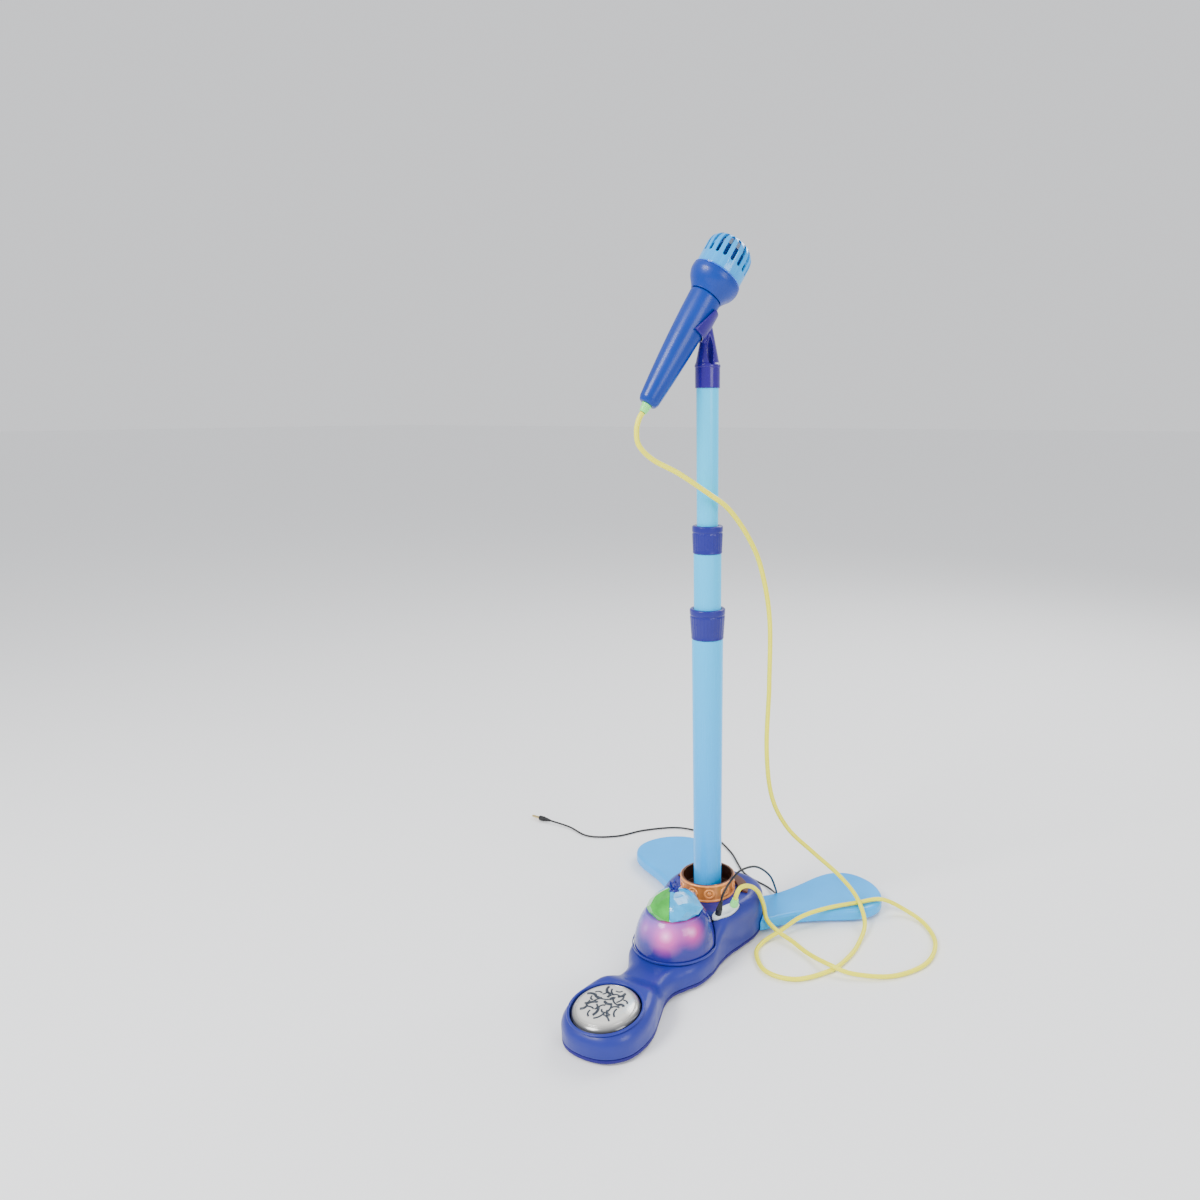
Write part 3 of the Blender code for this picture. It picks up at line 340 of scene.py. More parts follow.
# ---- meshes -------------------------------------------------------------------------------------------
def mesh_of(bm, name="mesh"):
    bmesh.ops.remove_doubles(bm, verts=bm.verts, dist=1e-6)
    bmesh.ops.dissolve_degenerate(bm, edges=bm.edges, dist=1e-7)
    bmesh.ops.recalc_face_normals(bm, faces=bm.faces)
    made = bpy.data.meshes.new(name)
    bm.to_mesh(made)
    bm.free()
    return made


def piece(name, mesh, finish, body, place=None, smooth=35, stands_for=()):
    """A mesh as a piece of the object: in place, painted, on its body if given, and for CAD nodes."""
    if place:
        mesh.transform(place)
    mesh.materials.clear()
    mesh.materials.append(finish)
    mesh.shade_smooth()
    if smooth < 180:
        mesh.set_sharp_from_angle(angle=radians(smooth))
    made = bpy.data.objects.new(name, mesh)
    bpy.context.scene.collection.objects.link(made)
    if body:
        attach(made, body)
    if stands_for:
        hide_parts(*stands_for)
    return made


def eased(profile, radius, closed, steps=4):
    """A profile with each corner rounded, by at most radius and less than half of either side."""
    count = len(profile)
    made = []
    for i, corner in enumerate(profile):
        here = Vector(corner)
        if not closed and i in (0, count - 1):
            made.append(corner)
            continue
        before, after = Vector(profile[i - 1]) - here, Vector(profile[(i + 1) % count]) - here
        reach = min(radius, 0.45 * before.length, 0.45 * after.length)
        one, two = here + before.normalized() * reach, here + after.normalized() * reach
        for step in range(steps + 1):
            t = step / steps
            made.append(tuple(one * (1 - t) ** 2 + here * 2 * t * (1 - t) + two * t * t))
    return made


def turned(profile, steps=96, radius=0.4, ripple=None):
    """A profile of (radius, z) in millimetres swept round Z, closed unless it starts on the axis.

    ripple(angle, r, z) may change the radius round the sweep.
    """
    closed = profile[0][0] > 0
    line = eased(profile, radius, closed)
    bm = bmesh.new()
    rings = []
    for k in range(steps):
        angle = 2 * pi * k / steps
        ring = []
        for r, z in line:
            r = ripple(angle, r, z) if ripple and r > 0 else r
            ring.append(bm.verts.new((r * cos(angle) * MM, r * sin(angle) * MM, z * MM)))
        rings.append(ring)
    pairs = [(i, i + 1) for i in range(len(line) - 1)] + ([(len(line) - 1, 0)] if closed else [])
    for k, ring in enumerate(rings):
        following = rings[(k + 1) % steps]
        for i, j in pairs:
            bm.faces.new((ring[i], ring[j], following[j], following[i]))
    return mesh_of(bm)


def box_mesh(size, centre=(0, 0, 0), bevel=0.0, turn=0.0):
    """A box in millimetres, with its edges rounded by bevel, turned about Z by degrees."""
    bm = bmesh.new()
    place = Matrix.Translation(Vector(centre) * MM) @ Matrix.Diagonal((*(s * MM for s in size), 1))
    bmesh.ops.create_cube(bm, size=1, matrix=Matrix.Rotation(radians(turn), 4, "Z") @ place)
    if bevel:
        bmesh.ops.bevel(bm, geom=bm.edges[:], offset=bevel * MM, segments=3, profile=0.5, affect="EDGES")
    return mesh_of(bm)


def rod_mesh(radius, low, high, at=(0, 0), steps=64, squeeze=1.0):
    """A round rod along Z in millimetres."""
    bm = bmesh.new()
    centre = Matrix.Translation((at[0] * MM, at[1] * MM, (low + high) / 2 * MM))
    bmesh.ops.create_cone(bm, cap_ends=True, segments=steps, radius1=radius * MM, radius2=radius * MM,
                          depth=(high - low) * MM, matrix=centre @ Matrix.Diagonal((1, squeeze, 1, 1)))
    return mesh_of(bm)


def ball_mesh(radii, centre):
    bm = bmesh.new()
    place = Matrix.Translation(Vector(centre) * MM)
    bmesh.ops.create_uvsphere(bm, u_segments=32, v_segments=20, radius=1,
                              matrix=place @ Matrix.Diagonal((*(r * MM for r in radii), 1)))
    return mesh_of(bm)


def placed(mesh, place):
    mesh.transform(place)
    return mesh


def worked(mesh, cutters=(), added=(), voxel=0.0, rounds=0, thin=0.0, bevel=0.0):
    """A mesh with others joined to it and cut from it, then remeshed and smoothed, or its edges rounded.

    thin is the share of the faces that is kept.
    """
    scene = bpy.context.scene.collection
    made = bpy.data.objects.new("work", mesh)
    helpers = []
    scene.objects.link(made)
    for operation, group in (("UNION", added), ("DIFFERENCE", cutters)):
        for other in group:
            helper = bpy.data.objects.new("helper", other)
            scene.objects.link(helper)
            helpers.append(helper)
            boolean = made.modifiers.new("Boolean", "BOOLEAN")
            boolean.operation = operation
            boolean.solver = "EXACT"
            boolean.object = helper
    if voxel:
        remesh = made.modifiers.new("Remesh", "REMESH")
        remesh.mode = "VOXEL"
        remesh.voxel_size = voxel * MM
    if rounds:
        smooth = made.modifiers.new("Smooth", "SMOOTH")
        smooth.iterations = rounds
        smooth.factor = 0.5
    if thin:
        made.modifiers.new("Decimate", "DECIMATE").ratio = thin
    if bevel:
        rounded = made.modifiers.new("Bevel", "BEVEL")
        rounded.width, rounded.segments = bevel * MM, 2
        rounded.limit_method, rounded.angle_limit = "ANGLE", radians(50)
    bpy.context.view_layer.update()
    result = bpy.data.meshes.new_from_object(made.evaluated_get(bpy.context.evaluated_depsgraph_get()))
    for helper in [made, *helpers]:
        bpy.data.objects.remove(helper)
    return result


def spline(points, steps, start=None, end=None):
    """Points along a smooth curve through the given ones, steps to a span. start and end steer its ends."""
    given = [Vector(p) for p in points]
    first = Vector(start) if start else given[0] * 2 - given[1]
    last = Vector(end) if end else given[-1] * 2 - given[-2]
    held = [first, *given, last]
    fine = []
    for a, b, c, d in zip(held, held[1:], held[2:], held[3:]):
        for step in range(steps):
            t = step / steps
            fine.append(0.5 * (b * 2 + (c - a) * t + (a * 2 - b * 5 + c * 4 - d) * t**2
                               + (b * 3 - a - c * 3 + d) * t**3))
    fine.append(given[-1])
    return np.array([tuple(p) for p in fine])


def flat_spline(points, steps, end=(None, None)):
    """A smooth curve through (radius, z) pairs, as an array of them."""
    return spline([(*p, 0) for p in points], steps, end=(*end, 0) if end[0] else None)[:, :2]


def evenly(line, count):
    """The line again, as points at equal distances along it."""
    lengths = np.concatenate([[0], np.cumsum(np.linalg.norm(np.diff(line, axis=0), axis=1))])
    stops = np.linspace(0, lengths[-1], count)
    return np.stack([np.interp(stops, lengths, column) for column in line.T], axis=1)


def pillow(outline, bottom, top_at, edge, rounds=7, across=8, per_span=6, grow=0.0):
    """A closed body over a symmetric plan outline, with upright walls and a rounded top edge."""
    before, after = (-outline[1][0], outline[1][1]), (-outline[-2][0], outline[-2][1])
    closed_end = outline[-1][0] < 1
    line = spline([(*p, 0) for p in outline], 12, (*before, 0), (*after, 0) if closed_end else None)
    flat = evenly(line, per_span * (len(outline) - 1) + 1)[:, :2]
    way = np.gradient(flat, axis=0)
    normals = np.stack([-way[:, 1], way[:, 0]], axis=1)
    normals /= np.linalg.norm(normals, axis=1)[:, None]
    normals[0] = (0, 1)
    normals[-1] = (0, -1) if closed_end else (1, 0)
    insets = [edge * (1 - cos(pi / 2 * k / rounds)) for k in range(rounds + 1)]
    bm = bmesh.new()
    rings = []
    for (x, y), (nx, ny) in zip(flat, normals):
        x, y = x + grow * nx, y + grow * ny
        side = [(x, y, bottom)]
        for k, inset in enumerate(insets):
            px, py = max(x - inset * nx, 0), y - inset * ny
            side.append((px, py, top_at(px, py) - edge * (1 - sin(pi / 2 * k / rounds))))
        px, py, _ = side[-1]
        for step in range(1, across + 1):
            qx = px * (1 - step / across)
            side.append((qx, py, top_at(qx, py)))
        whole = side + [(-a, b, c) for a, b, c in side[-2::-1]]
        rings.append([bm.verts.new(Vector(p) * MM) for p in whole])
    for one, two in zip(rings, rings[1:]):
        for k in range(len(one)):
            a, b = k, (k + 1) % len(one)
            bm.faces.new((one[a], one[b], two[b], two[a]))
    if not closed_end:
        bm.faces.new(rings[-1])
    return mesh_of(bm)


def tube_mesh(path, radius, sides=4):
    """A round tube with closed ends along points in metres."""
    curve = bpy.data.curves.new("tube", "CURVE")
    curve.dimensions = "3D"
    curve.bevel_depth = radius * MM
    curve.bevel_resolution = sides
    curve.use_fill_caps = True
    line = curve.splines.new("POLY")
    line.points.add(len(path) - 1)
    for point, place in zip(line.points, path):
        point.co = (*place, 1)
    drawn = bpy.data.objects.new("tube", curve)
    bpy.context.scene.collection.objects.link(drawn)
    bpy.context.view_layer.update()
    made = bpy.data.meshes.new_from_object(drawn.evaluated_get(bpy.context.evaluated_depsgraph_get()))
    bpy.data.objects.remove(drawn)
    bm = bmesh.new()
    bm.from_mesh(made)
    return mesh_of(bm)


def prism(outline, low, high):
    """A flat outline in millimetres given thickness along Z."""
    bm = bmesh.new()
    rings = [[bm.verts.new((x * MM, y * MM, z * MM)) for x, y in outline] for z in (low, high)]
    for k, point in enumerate(rings[0]):
        following = (k + 1) % len(outline)
        bm.faces.new((point, rings[0][following], rings[1][following], rings[1][k]))
    bm.faces.new(rings[0][::-1])
    bm.faces.new(rings[1])
    return mesh_of(bm)


def joined(meshes):
    """Several meshes as one, lying together without a union."""
    bm = bmesh.new()
    for mesh in meshes:
        bm.from_mesh(mesh)
    made = bpy.data.meshes.new("joined")
    bm.to_mesh(made)
    bm.free()
    return made


# ---- camera -------------------------------------------------------------------------------------------
def camera():
    """From 27 degrees to the right of the pedal, looking 20 degrees down."""
    azimuth, away, height, down = radians(27), 0.864, 0.540, 20
    data = bpy.data.cameras.new("camera")
    data.lens, data.sensor_width = 27, 36
    data.shift_x, data.shift_y = -0.0896, 0.116
    made = bpy.data.objects.new("camera", data)
    made.location = (away * sin(azimuth), -away * cos(azimuth), height)
    made.rotation_euler = (radians(90 - down), 0, azimuth)
    bpy.context.scene.collection.objects.link(made)
    bpy.context.scene.camera = made


# ---- leads and their plugs ----------------------------------------------------------------------------
def plug(name, finish, node_name, place, rings, taper):
    """A moulded plug and strain relief with grooves round it, over its metal pin, along Z of place."""
    low, high = span(node_name, place)
    top, root = high.z, high.x
    throat = taper * root
    outer = [(0.6, top), (throat, top)]
    for k in range(rings):
        z = top - (k + 0.7) * (top * 0.55 / rings)
        r = throat + (root - throat) * (k + 0.7) / rings * 0.8
        outer += [(r, z + 0.5), (r - 0.45, z + 0.25), (r - 0.45, z - 0.25), (r + 0.1, z - 0.5)]
    outer += [(root, top * 0.42), (root, 0), (0.6, 0)]
    made = piece(name, turned(outer, 48, 0.35), finish, "base", place, 40, [node_name])
    pin, tip = 1.7, low.z
    line = [(0, -0.05), (pin, -0.05)]
    for z in (tip * 0.4, tip * 0.66):
        line += [(pin, z), (pin - 0.25, z - 0.2), (pin - 0.25, z - 0.7), (pin, z - 0.9)]
    line += [(pin, tip * 0.86), (pin * 0.55, tip * 0.92), (pin * 0.8, tip * 0.96), (0.2, tip), (0, tip)]
    return made, piece(name + "_pin", turned(line, 32, 0.12), GOLD, "base", place)


def stretch(name, points, radius, finish, lower, upper=None, steps=8):
    """One stretch of a lead, on the lower body, or on no body where an upper one is given."""
    path = spline(points, steps) * MM
    body = None if upper else lower
    made = piece(name + "_sheath", tube_mesh(path, radius, 5), finish, body, smooth=60, stands_for=[name])
    if upper:
        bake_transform(made)
    return made, path


def leads():
    """The microphone's lead in three stretches, the audio lead, and their plugs."""
    top, top_path = stretch("mic_cord_top", [*MIC_CORD_TOP[:-1], MIC_CORD_MIDDLE[0]], MIC_CORD_R, YELLOW,
                            "upper_mast", "microphone")
    mid, mid_path = stretch("mic_cord_middle", [*MIC_CORD_MIDDLE[:-1], MIC_CORD_FLOOR[0]], MIC_CORD_R,
                            YELLOW, "middle_mast", "upper_mast")
    low, low_path = stretch("mic_cord_floor", MIC_CORD_FLOOR, MIC_CORD_R, YELLOW, "base", "middle_mast")
    mic_seat, audio_seat = (JACKS @ Matrix.Translation((0, y, GAP * MM)) for y in (JACK_HALF, -JACK_HALF))
    mic_plug = plug("mic_plug_moulding", PALE_GREEN, "mic_plug", mic_seat, 2, 0.78)
    audio_plug = plug("audio_plug_moulding", BLACK, "audio_plug", audio_seat, 5, 0.5)
    audio, audio_path = stretch("audio_cord", AUDIO_CORD, AUDIO_CORD_R, BLACK_LEAD, "base")
    way = Vector(AUDIO_CORD[-1]) - Vector(AUDIO_CORD[-2])
    way.z = 0
    plug_long = 18
    end = Vector(AUDIO_CORD[-1]) * MM + way.normalized() * (plug_long + GAP) * MM
    seat = Matrix.Translation(end) @ way.to_track_quat("-Z", "Y").to_matrix().to_4x4()
    free_plug = plug("audio_plug_free_moulding", BLACK, "audio_plug_free", seat, 5, 0.5)


# ---- base ---------------------------------------------------------------------------------------------
def smoothstep(t):
    t = min(max(t, 0), 1)
    return t * t * (3 - 2 * t)


def base_top(x, y):
    """Height of the housing's top: level round the mast, down past the lamp, and up to the sloping foot."""
    back_y, back_z = BASE_TOP[-1]
    if y <= back_y:
        return back_z + FOOT_SLOPE * (y - back_y)
    for (y0, z0), (y1, z1) in zip(BASE_TOP, BASE_TOP[1:]):
        if y >= y1:
            return z1 + (z0 - z1) * smoothstep((y - y1) / (y0 - y1))
    return back_z


def lamp_line():
    """The bell's outer line, (radius, z) from its top to its foot, through the CAD bell's ends."""
    low, high = span("lamp_bell", LAMP)
    foot, head, top, bottom = high.x, high.x - 13, high.z, low.z
    shape = [(0, 0), (0.35, 0.16), (0.65, 0.385), (0.885, 0.67), (1, 1)]
    return [(head + (foot - head) * a, top + (bottom - top) * b) for a, b in shape]


def housing():
    """The upper shell, hollow, with the lamp's seat and the openings for what stands in it."""
    bottom = span("base_upper_shell")[0].z
    body = pillow(BASE_OUTLINE, bottom, base_top, BASE_EDGE)
    lamp_y = middle("lamp_led_board").y / MM
    low_ceiling, low_reach, rise_over = 24, 44.5, 7

    def ceiling(x, y):
        """Under the top by the wall, and lower beneath the lamp's seat."""
        away = (hypot(x, y - lamp_y) - low_reach) / rise_over
        full = base_top(x, y) - BASE_WALL
        return min(full, low_ceiling + max(full - low_ceiling, 0) * smoothstep(away))

    inside = pillow(BASE_OUTLINE, -5, ceiling, BASE_EDGE - BASE_WALL, 3, 4, 3, -BASE_WALL)
    bell = [(r + 0.5, z) for r, z in flat_spline(lamp_line(), 6)]
    seat_z, wire_hole = 26.5, 4
    seat = turned([(0, 80), (bell[0][0], 80), *bell[:-1], (bell[-1][0], seat_z), (wire_hole, seat_z),
                   (wire_hole, 15), (0, 15)], 96, 0)
    mast_r = -span("lower_tube")[0].x
    pedal_r = span("pedal_button", PEDAL)[1].x
    plate = span("jack_plate", JACKS)[1]
    reach = span("left_leg_tab", leg_frame("left"))[1]
    play = 0.4
    squeeze = (plate.y + play) / (plate.x + play)
    cutters = [inside, placed(seat, LAMP), rod_mesh(mast_r, 40, 60),
               placed(rod_mesh(pedal_r + 2 * play, -4, 20, steps=96), PEDAL),
               placed(rod_mesh(plate.x + play, -20, 10, squeeze=squeeze), JACKS),
               box_mesh((18, 12, 6), (0, 59, 22))]
    for side in ("left", "right"):
        low, high = span(f"{side}_leg_tab", leg_frame(side))
        centre = ((low.x + high.x) / 2, 72, (low.z + high.z) / 2)
        slot = box_mesh((high.x - low.x + 2 * play, reach.y, high.z - low.z + 2 * play), centre)
        cutters.append(placed(slot, leg_frame(side)))
    shell = worked(body, cutters, voxel=0.75, rounds=6, thin=0.35)
    piece("upper_housing", shell, INDIGO, "base", smooth=180, stands_for=["base_upper_shell"])
    lip_r = pedal_r + 2.4
    lip = turned([(lip_r + 1.6, 7.9), (lip_r + 1.2, 9.1), (lip_r, 9.6), (lip_r - 1.2, 9.1),
                  (lip_r - 1.5, 7.6)], 128, 0.5)
    piece("pedal_bezel", lip, INDIGO, "base", PEDAL)


def lower_shell():
    """The underside, with the door's opening, slots under the speaker and its screws."""
    low, high = span("base_lower_shell")
    plate = pillow(BASE_OUTLINE, low.z, lambda x, y: high.z, 0.8, 2, 3, 6)
    door = span("battery_door")
    size = (door[1].x - door[0].x + 0.6, door[1].y - door[0].y + 0.6, 10)
    cutters = [box_mesh(size, (0, (door[0].y + door[1].y) / 2, 4))]
    speaker = middle("speaker").y / MM
    cutters += [box_mesh((20, 2.2, 10), (0, speaker + 4.4 * k, 4), 0.8) for k in range(-2, 3)]
    screws = [middle(name) / MM for name in NODES if name.startswith("case_screw")]
    cutters += [rod_mesh(2.2, 0, 10, (at.x, at.y), 32) for at in screws]
    piece("lower_housing", worked(plate, cutters), INDIGO_SHADED, "base", smooth=30,
          stands_for=["base_lower_shell"])
    for name in [n for n in NODES if "screw" in n]:
        at = middle(name)
        low, high = span(name)
        root = high.x - at.x / MM
        head = turned([(0, low.z), (root, low.z), (root, high.z), (0, high.z)], 32, 0.3)
        cross = [box_mesh((2.6, 0.6, 2), (0, 0, low.z - 0.3)), box_mesh((0.6, 2.6, 2), (0, 0, low.z - 0.3))]
        piece(name + "_head", worked(head, cross), STEEL, "base", Matrix.Translation((at.x, at.y, 0)),
              stands_for=[name])


def soft_feet():
    """Rubber feet and leg pads, each a low drum with a rounded rim and a ring moulded in its face."""
    bodies = {"left_leg_pad": "left_leg_body", "right_leg_pad": "right_leg_body"}
    for name in [n for n in NODES if n.startswith("rubber_foot") or n.endswith("_pad")]:
        low, high = span(name)
        at = middle(name)
        root = (high.x - low.x) / 2
        face = [(0, high.z), (root, high.z), (root - 0.8, 0), (root * 0.6, 0), (root * 0.55, 0.4),
                (root * 0.4, 0.4), (root * 0.35, 0), (0, 0)]
        piece(name + "_drum", turned(face, 48, 0.5), RUBBER, bodies.get(name, "base"),
              Matrix.Translation((at.x, at.y, 0)), stands_for=[name])


def jacks():
    """The oval plate with a raised rim, and a ring round each jack's hole."""
    low, high = span("jack_plate", JACKS)
    half = JACK_HALF / MM
    edge, top = high.x, high.z
    oval = turned([(0, top), (edge - 2.2, top), (edge - 1.6, top + 0.5), (edge - 0.5, top + 0.3),
                   (edge, top - 0.6), (edge, low.z), (0, low.z)], 96, 0.3)
    oval.transform(Matrix.Diagonal((1, high.y / edge, 1, 1)))
    holes = [rod_mesh(2.4, -12, 6, (0, y), 40) for y in (-half, half)]
    piece("jack_surround", worked(oval, holes), WHITE, "base", JACKS, 30, ["jack_plate"])
    under, over = top + 0.05, top + 0.65
    for name, y, finish in (("audio_jack_ring", -half, STEEL), ("mic_jack_ring", half, PALE_GREEN)):
        collar = turned([(3.6, over), (3.9, under), (2.5, under), (2.5, over)], 48, 0.2)
        piece(name, collar, finish, "base", JACKS @ Matrix.Translation((0, y * MM, 0)))


def lamp():
    """The translucent bell with lights behind it, the bead round its foot and its cap."""
    outer = flat_spline(lamp_line(), 8)
    inner = [(r - 2.2, z - 0.4) for r, z in outer[::-1]]
    inner[0] = (inner[0][0], outer[-1][1])
    top = span("lamp_bell")[1].z
    profile = [tuple(p) for p in outer] + inner[:-1] + [(24, top - 2), (24, top)]
    led_y = middle("lamp_led_board").y
    glow(BELL, [((0.009, led_y - 0.034, 0.056), 0.024, 1.0), ((0.03, led_y - 0.018, 0.058), 0.02, 0.75),
                ((-0.016, led_y - 0.032, 0.058), 0.017, 0.35)], (1.0, 0.08, 0.2))
    piece("lamp_bell_skin", turned(profile, 128, 0.25), BELL, "base", LAMP, 50, ["lamp_bell"])
    skirt = lamp_line()[-1][0] + 0.9
    bead = [(skirt + 0.9, 29.6), (skirt + 0.5, 30.9), (skirt - 0.3, 30.6), (skirt - 0.2, 28.4),
            (skirt + 0.8, 28.2)]
    piece("lamp_seat_bead", turned(bead, 128, 0.3), INDIGO, "base", LAMP)
    crystal()


def crystal():
    """The lamp's cap: rows of cut facets that point out, in two tinted halves, under a spiked crown."""
    low, high = span("lamp_gem_green", LAMP)
    bottom, top, wide = low.z, high.z, CAP_RADIUS
    rows = [(0, 1), (0.2, 1.02), (0.45, 0.9), (0.68, 0.7), (0.86, 0.42), (1, 0.2)]
    for name, finish, side, node_name in (("lamp_cap_green", GREEN, -1, "lamp_gem_green"),
                                          ("lamp_cap_blue", BLUE, 1, "lamp_gem_blue")):
        bm = bmesh.new()
        rings = []
        for k, (up, share) in enumerate(rows):
            ring = []
            for i in range(CAP_SIDES):
                angle = 2 * pi * (i + 0.5 * (k % 2)) / CAP_SIDES
                out = wide * share * (1 + 0.06 * sin(2.3 * i + 1.7 * k))
                uneven = 1.1 * (1 + sin(2.9 * i)) if k == 0 else 0.8 * sin(1.9 * i + k)
                z = bottom + (top - bottom) * up + uneven
                ring.append(bm.verts.new(Vector((out * cos(angle), out * sin(angle), z)) * MM))
            rings.append(ring)
        for k, (one, two) in enumerate(zip(rings, rings[1:])):
            for i in range(CAP_SIDES):
                a, b, c, d = one[i], one[(i + 1) % CAP_SIDES], two[i], two[(i + 1) % CAP_SIDES]
                corners_of = ((a, b, c), (b, d, c)) if k % 2 == 0 else ((a, b, d), (a, d, c))
                for three in corners_of:
                    bm.faces.new(three)
        bmesh.ops.triangulate(bm, faces=[bm.faces.new(rings[-1]), bm.faces.new(rings[0][::-1])])
        far, split = 60, 4
        cutter = box_mesh((far, 2 * far, far), (-side * (far - GAP) / 2 - split, 0, 78), turn=27)
        half = worked(mesh_of(bm), [cutter], bevel=0.35)
        piece(name, half, finish, "base", LAMP, 8, [node_name])
    spikes = []
    low, high = span("lamp_spike", LAMP)
    for k in range(9):
        low_row = k < 6
        ring_of, turn_of = (6, 0.4) if low_row else (2, 1.1)
        lean = radians(58 if low_row else 24) if k < 8 else 0
        turn = Matrix.Rotation(2 * pi * k / ring_of + turn_of, 4, "Z") @ Matrix.Rotation(lean, 4, "Y")
        size = 0.72 if low_row else 1.0
        cone = turned([(0, 12.5 * size), (1.8 * size, 7.6 * size), (3.3 * size, 0), (0, 0)], 5, 0.1)
        spikes.append(placed(cone, Matrix.Translation((0, 0, (low.z + 0.4) * MM)) @ turn))
    collar = turned([(0, low.z + 2.2), (4.6, low.z + 1.6), (6, low.z - 0.6), (0, low.z - 0.6)], 6, 0.2)
    piece("lamp_crown", joined([collar, *spikes]), TIP, "base", LAMP, 15, ["lamp_spike"])


def ring():
    """The copper ring: a rolled rim, a beaded foot and a row of raised roundels."""
    low, high = span("copper_ring")
    outer = -low.y
    inner = outer - 3.6

    flats, roundel_count = 20, 10

    def facets(angle, r, z):
        """Flats round the outside."""
        if r < outer - 2:
            return r
        step = 2 * pi / flats
        within = (angle + step / 2) % step - step / 2
        return r * (cos(step / 2) / cos(within)) ** 0.8

    rim, waist, bore = outer - 0.1, outer - 1.0, 16.2
    wall = [(outer - 2.6, high.z), (outer - 0.9, high.z), (rim, high.z - 0.9), (rim, high.z - 2.1),
            (waist, high.z - 2.9), (waist, low.z + 2.6), (rim, low.z + 1.8), (rim, low.z), (bore, low.z),
            (bore, low.z + 2.5), (inner, low.z + 2.5), (inner, high.z)]
    band = turned(wall, 160, 0.45, facets)
    piece("copper_band", band, COPPER, "base", smooth=32, stands_for=["copper_ring"])
    roundels = []
    mid = (low.z + high.z) / 2 - 0.2
    for k in range(roundel_count):
        disc = turned([(0, 0.9), (1.7, 0.75), (2.3, 0.1), (3.4, 0.1), (3.9, 0.9), (5.2, 0.9), (5.8, 0),
                       (5.8, -1), (0, -1)], 40, 0.35)
        stand = Matrix.Rotation(2 * pi * (k + 0.35) / roundel_count, 4, "Z")
        out = Matrix.Translation((outer - 1.35) * MM * Vector((1, 0, 0)) + Vector((0, 0, mid * MM)))
        roundels.append(placed(disc, stand @ out @ Matrix.Rotation(pi / 2, 4, "Y")))
    piece("copper_roundels", joined(roundels), COPPER, "base", smooth=35)
    low, high = span("rear_trim_arc")
    arc = turned([(44, high.z - 1), (44, low.z), (33, low.z), (33, high.z)], 160, 0.6)
    back = box_mesh((120, 80, 20), (0, -29, 55))
    # the rear trim is painted in the copper's shaded colour
    piece("rear_trim", worked(arc, [back]), SHADED_COPPER, "base", smooth=30, stands_for=["rear_trim_arc"])


def pedal():
    """The domed button, with a groove near its rim and a fan of dark inlaid strokes."""
    high = span("pedal_button", PEDAL)[1]
    top, wide = high.z, high.x
    dome = [(0, 0), (12, -0.7), (21, -2.4), (28, -5), (31.2, -7.6), (32, -10)]
    outer = [(r * wide / dome[-1][0], top + z) for r, z in flat_spline(dome, 8)]

    def height(r):
        return float(np.interp(r, [p[0] for p in outer], [p[1] for p in outer]))

    groove = [p for p in outer if p[0] < 26.2] + [(26.6, height(26.6)), (27, height(27) - 0.7),
                                                  (27.6, height(27.6) - 0.7), (28, height(28))]
    groove += [p for p in outer if p[0] > 28.4]
    profile = [*groove, (wide, 0), (wide - 2.4, 0), (wide - 2.4, 5.4), (20, 9.4), (10, 11), (0, 11)]
    piece("pedal_dome", turned(profile, 128, 0.25), SILVER, "pedal", PEDAL, 50, ["pedal_button"])
    strokes, sunk = [], 0.45
    for k in range(PEDAL_STROKES):
        away, turn = 3.5 + 16 * (k / PEDAL_STROKES) ** 0.6, 2.4 * k
        heading, long = turn + 0.9 * sin(2.1 * k), 8 + 3 * sin(1.7 * k)
        line = []
        for t in np.linspace(-1, 1, 9):
            along, aside = t * long / 2, 1.5 * (1 - t * t) * (1 if k % 2 else -1)
            x = away * cos(turn) + along * cos(heading) - aside * sin(heading)
            y = away * sin(turn) + along * sin(heading) + aside * cos(heading)
            line.append((x * MM, y * MM, (height(hypot(x, y)) - sunk) * MM))
        strokes.append(tube_mesh(line, 1.05 + 0.45 * (k % 3 == 0), 3))
    piece("pedal_inlay", joined(strokes), SLATE, "pedal", PEDAL, 60)


def spring():
    """The return spring, a wire coil under the pedal, fixed to the base."""
    low, high = span("pedal_spring", PEDAL)
    wire, turns, steps, travel = 0.6, 4, 28, 3
    root, long = high.x - wire, high.z - low.z
    path = []
    for k in range(turns * steps + 1):
        angle, up = 2 * pi * k / steps, k / (turns * steps)
        z = low.z + wire + (long - 2 * wire) * up
        path.append((root * cos(angle) * MM, root * sin(angle) * MM, z * MM))
    coil = piece("pedal_coil", tube_mesh(path, wire, 3), STEEL, "base", PEDAL, 60, ["pedal_spring"])
    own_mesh(coil)


def legs():
    """The flat legs, cut to the housing's side, each with its tab."""
    clear = pillow(BASE_OUTLINE, -5, lambda x, y: 70, BASE_EDGE, 1, 1, 6, 0.5)
    for side in ("left", "right"):
        place = leg_frame(side)
        low, high = span(f"{side}_leg", place)
        body = placed(pillow(LEG_OUTLINE, low.z, lambda x, y: high.z, 4.5), place)
        tab_low, tab_high = span(f"{side}_leg_tab", place)
        size, centre = [b - a for a, b in zip(tab_low, tab_high)], (tab_low + tab_high) / 2
        pocket = placed(box_mesh([s + TAB_PLAY for s in size], centre), place)
        made = worked(body, [clear.copy(), pocket], voxel=0.8, rounds=5, thin=0.4)
        piece(f"{side}_wing", made, LEG, f"{side}_leg_body", smooth=180, stands_for=[f"{side}_leg"])
        piece(f"{side}_tab", box_mesh(size, centre, 1.2), INDIGO, f"{side}_leg_body", place,
              stands_for=[f"{side}_leg_tab"])


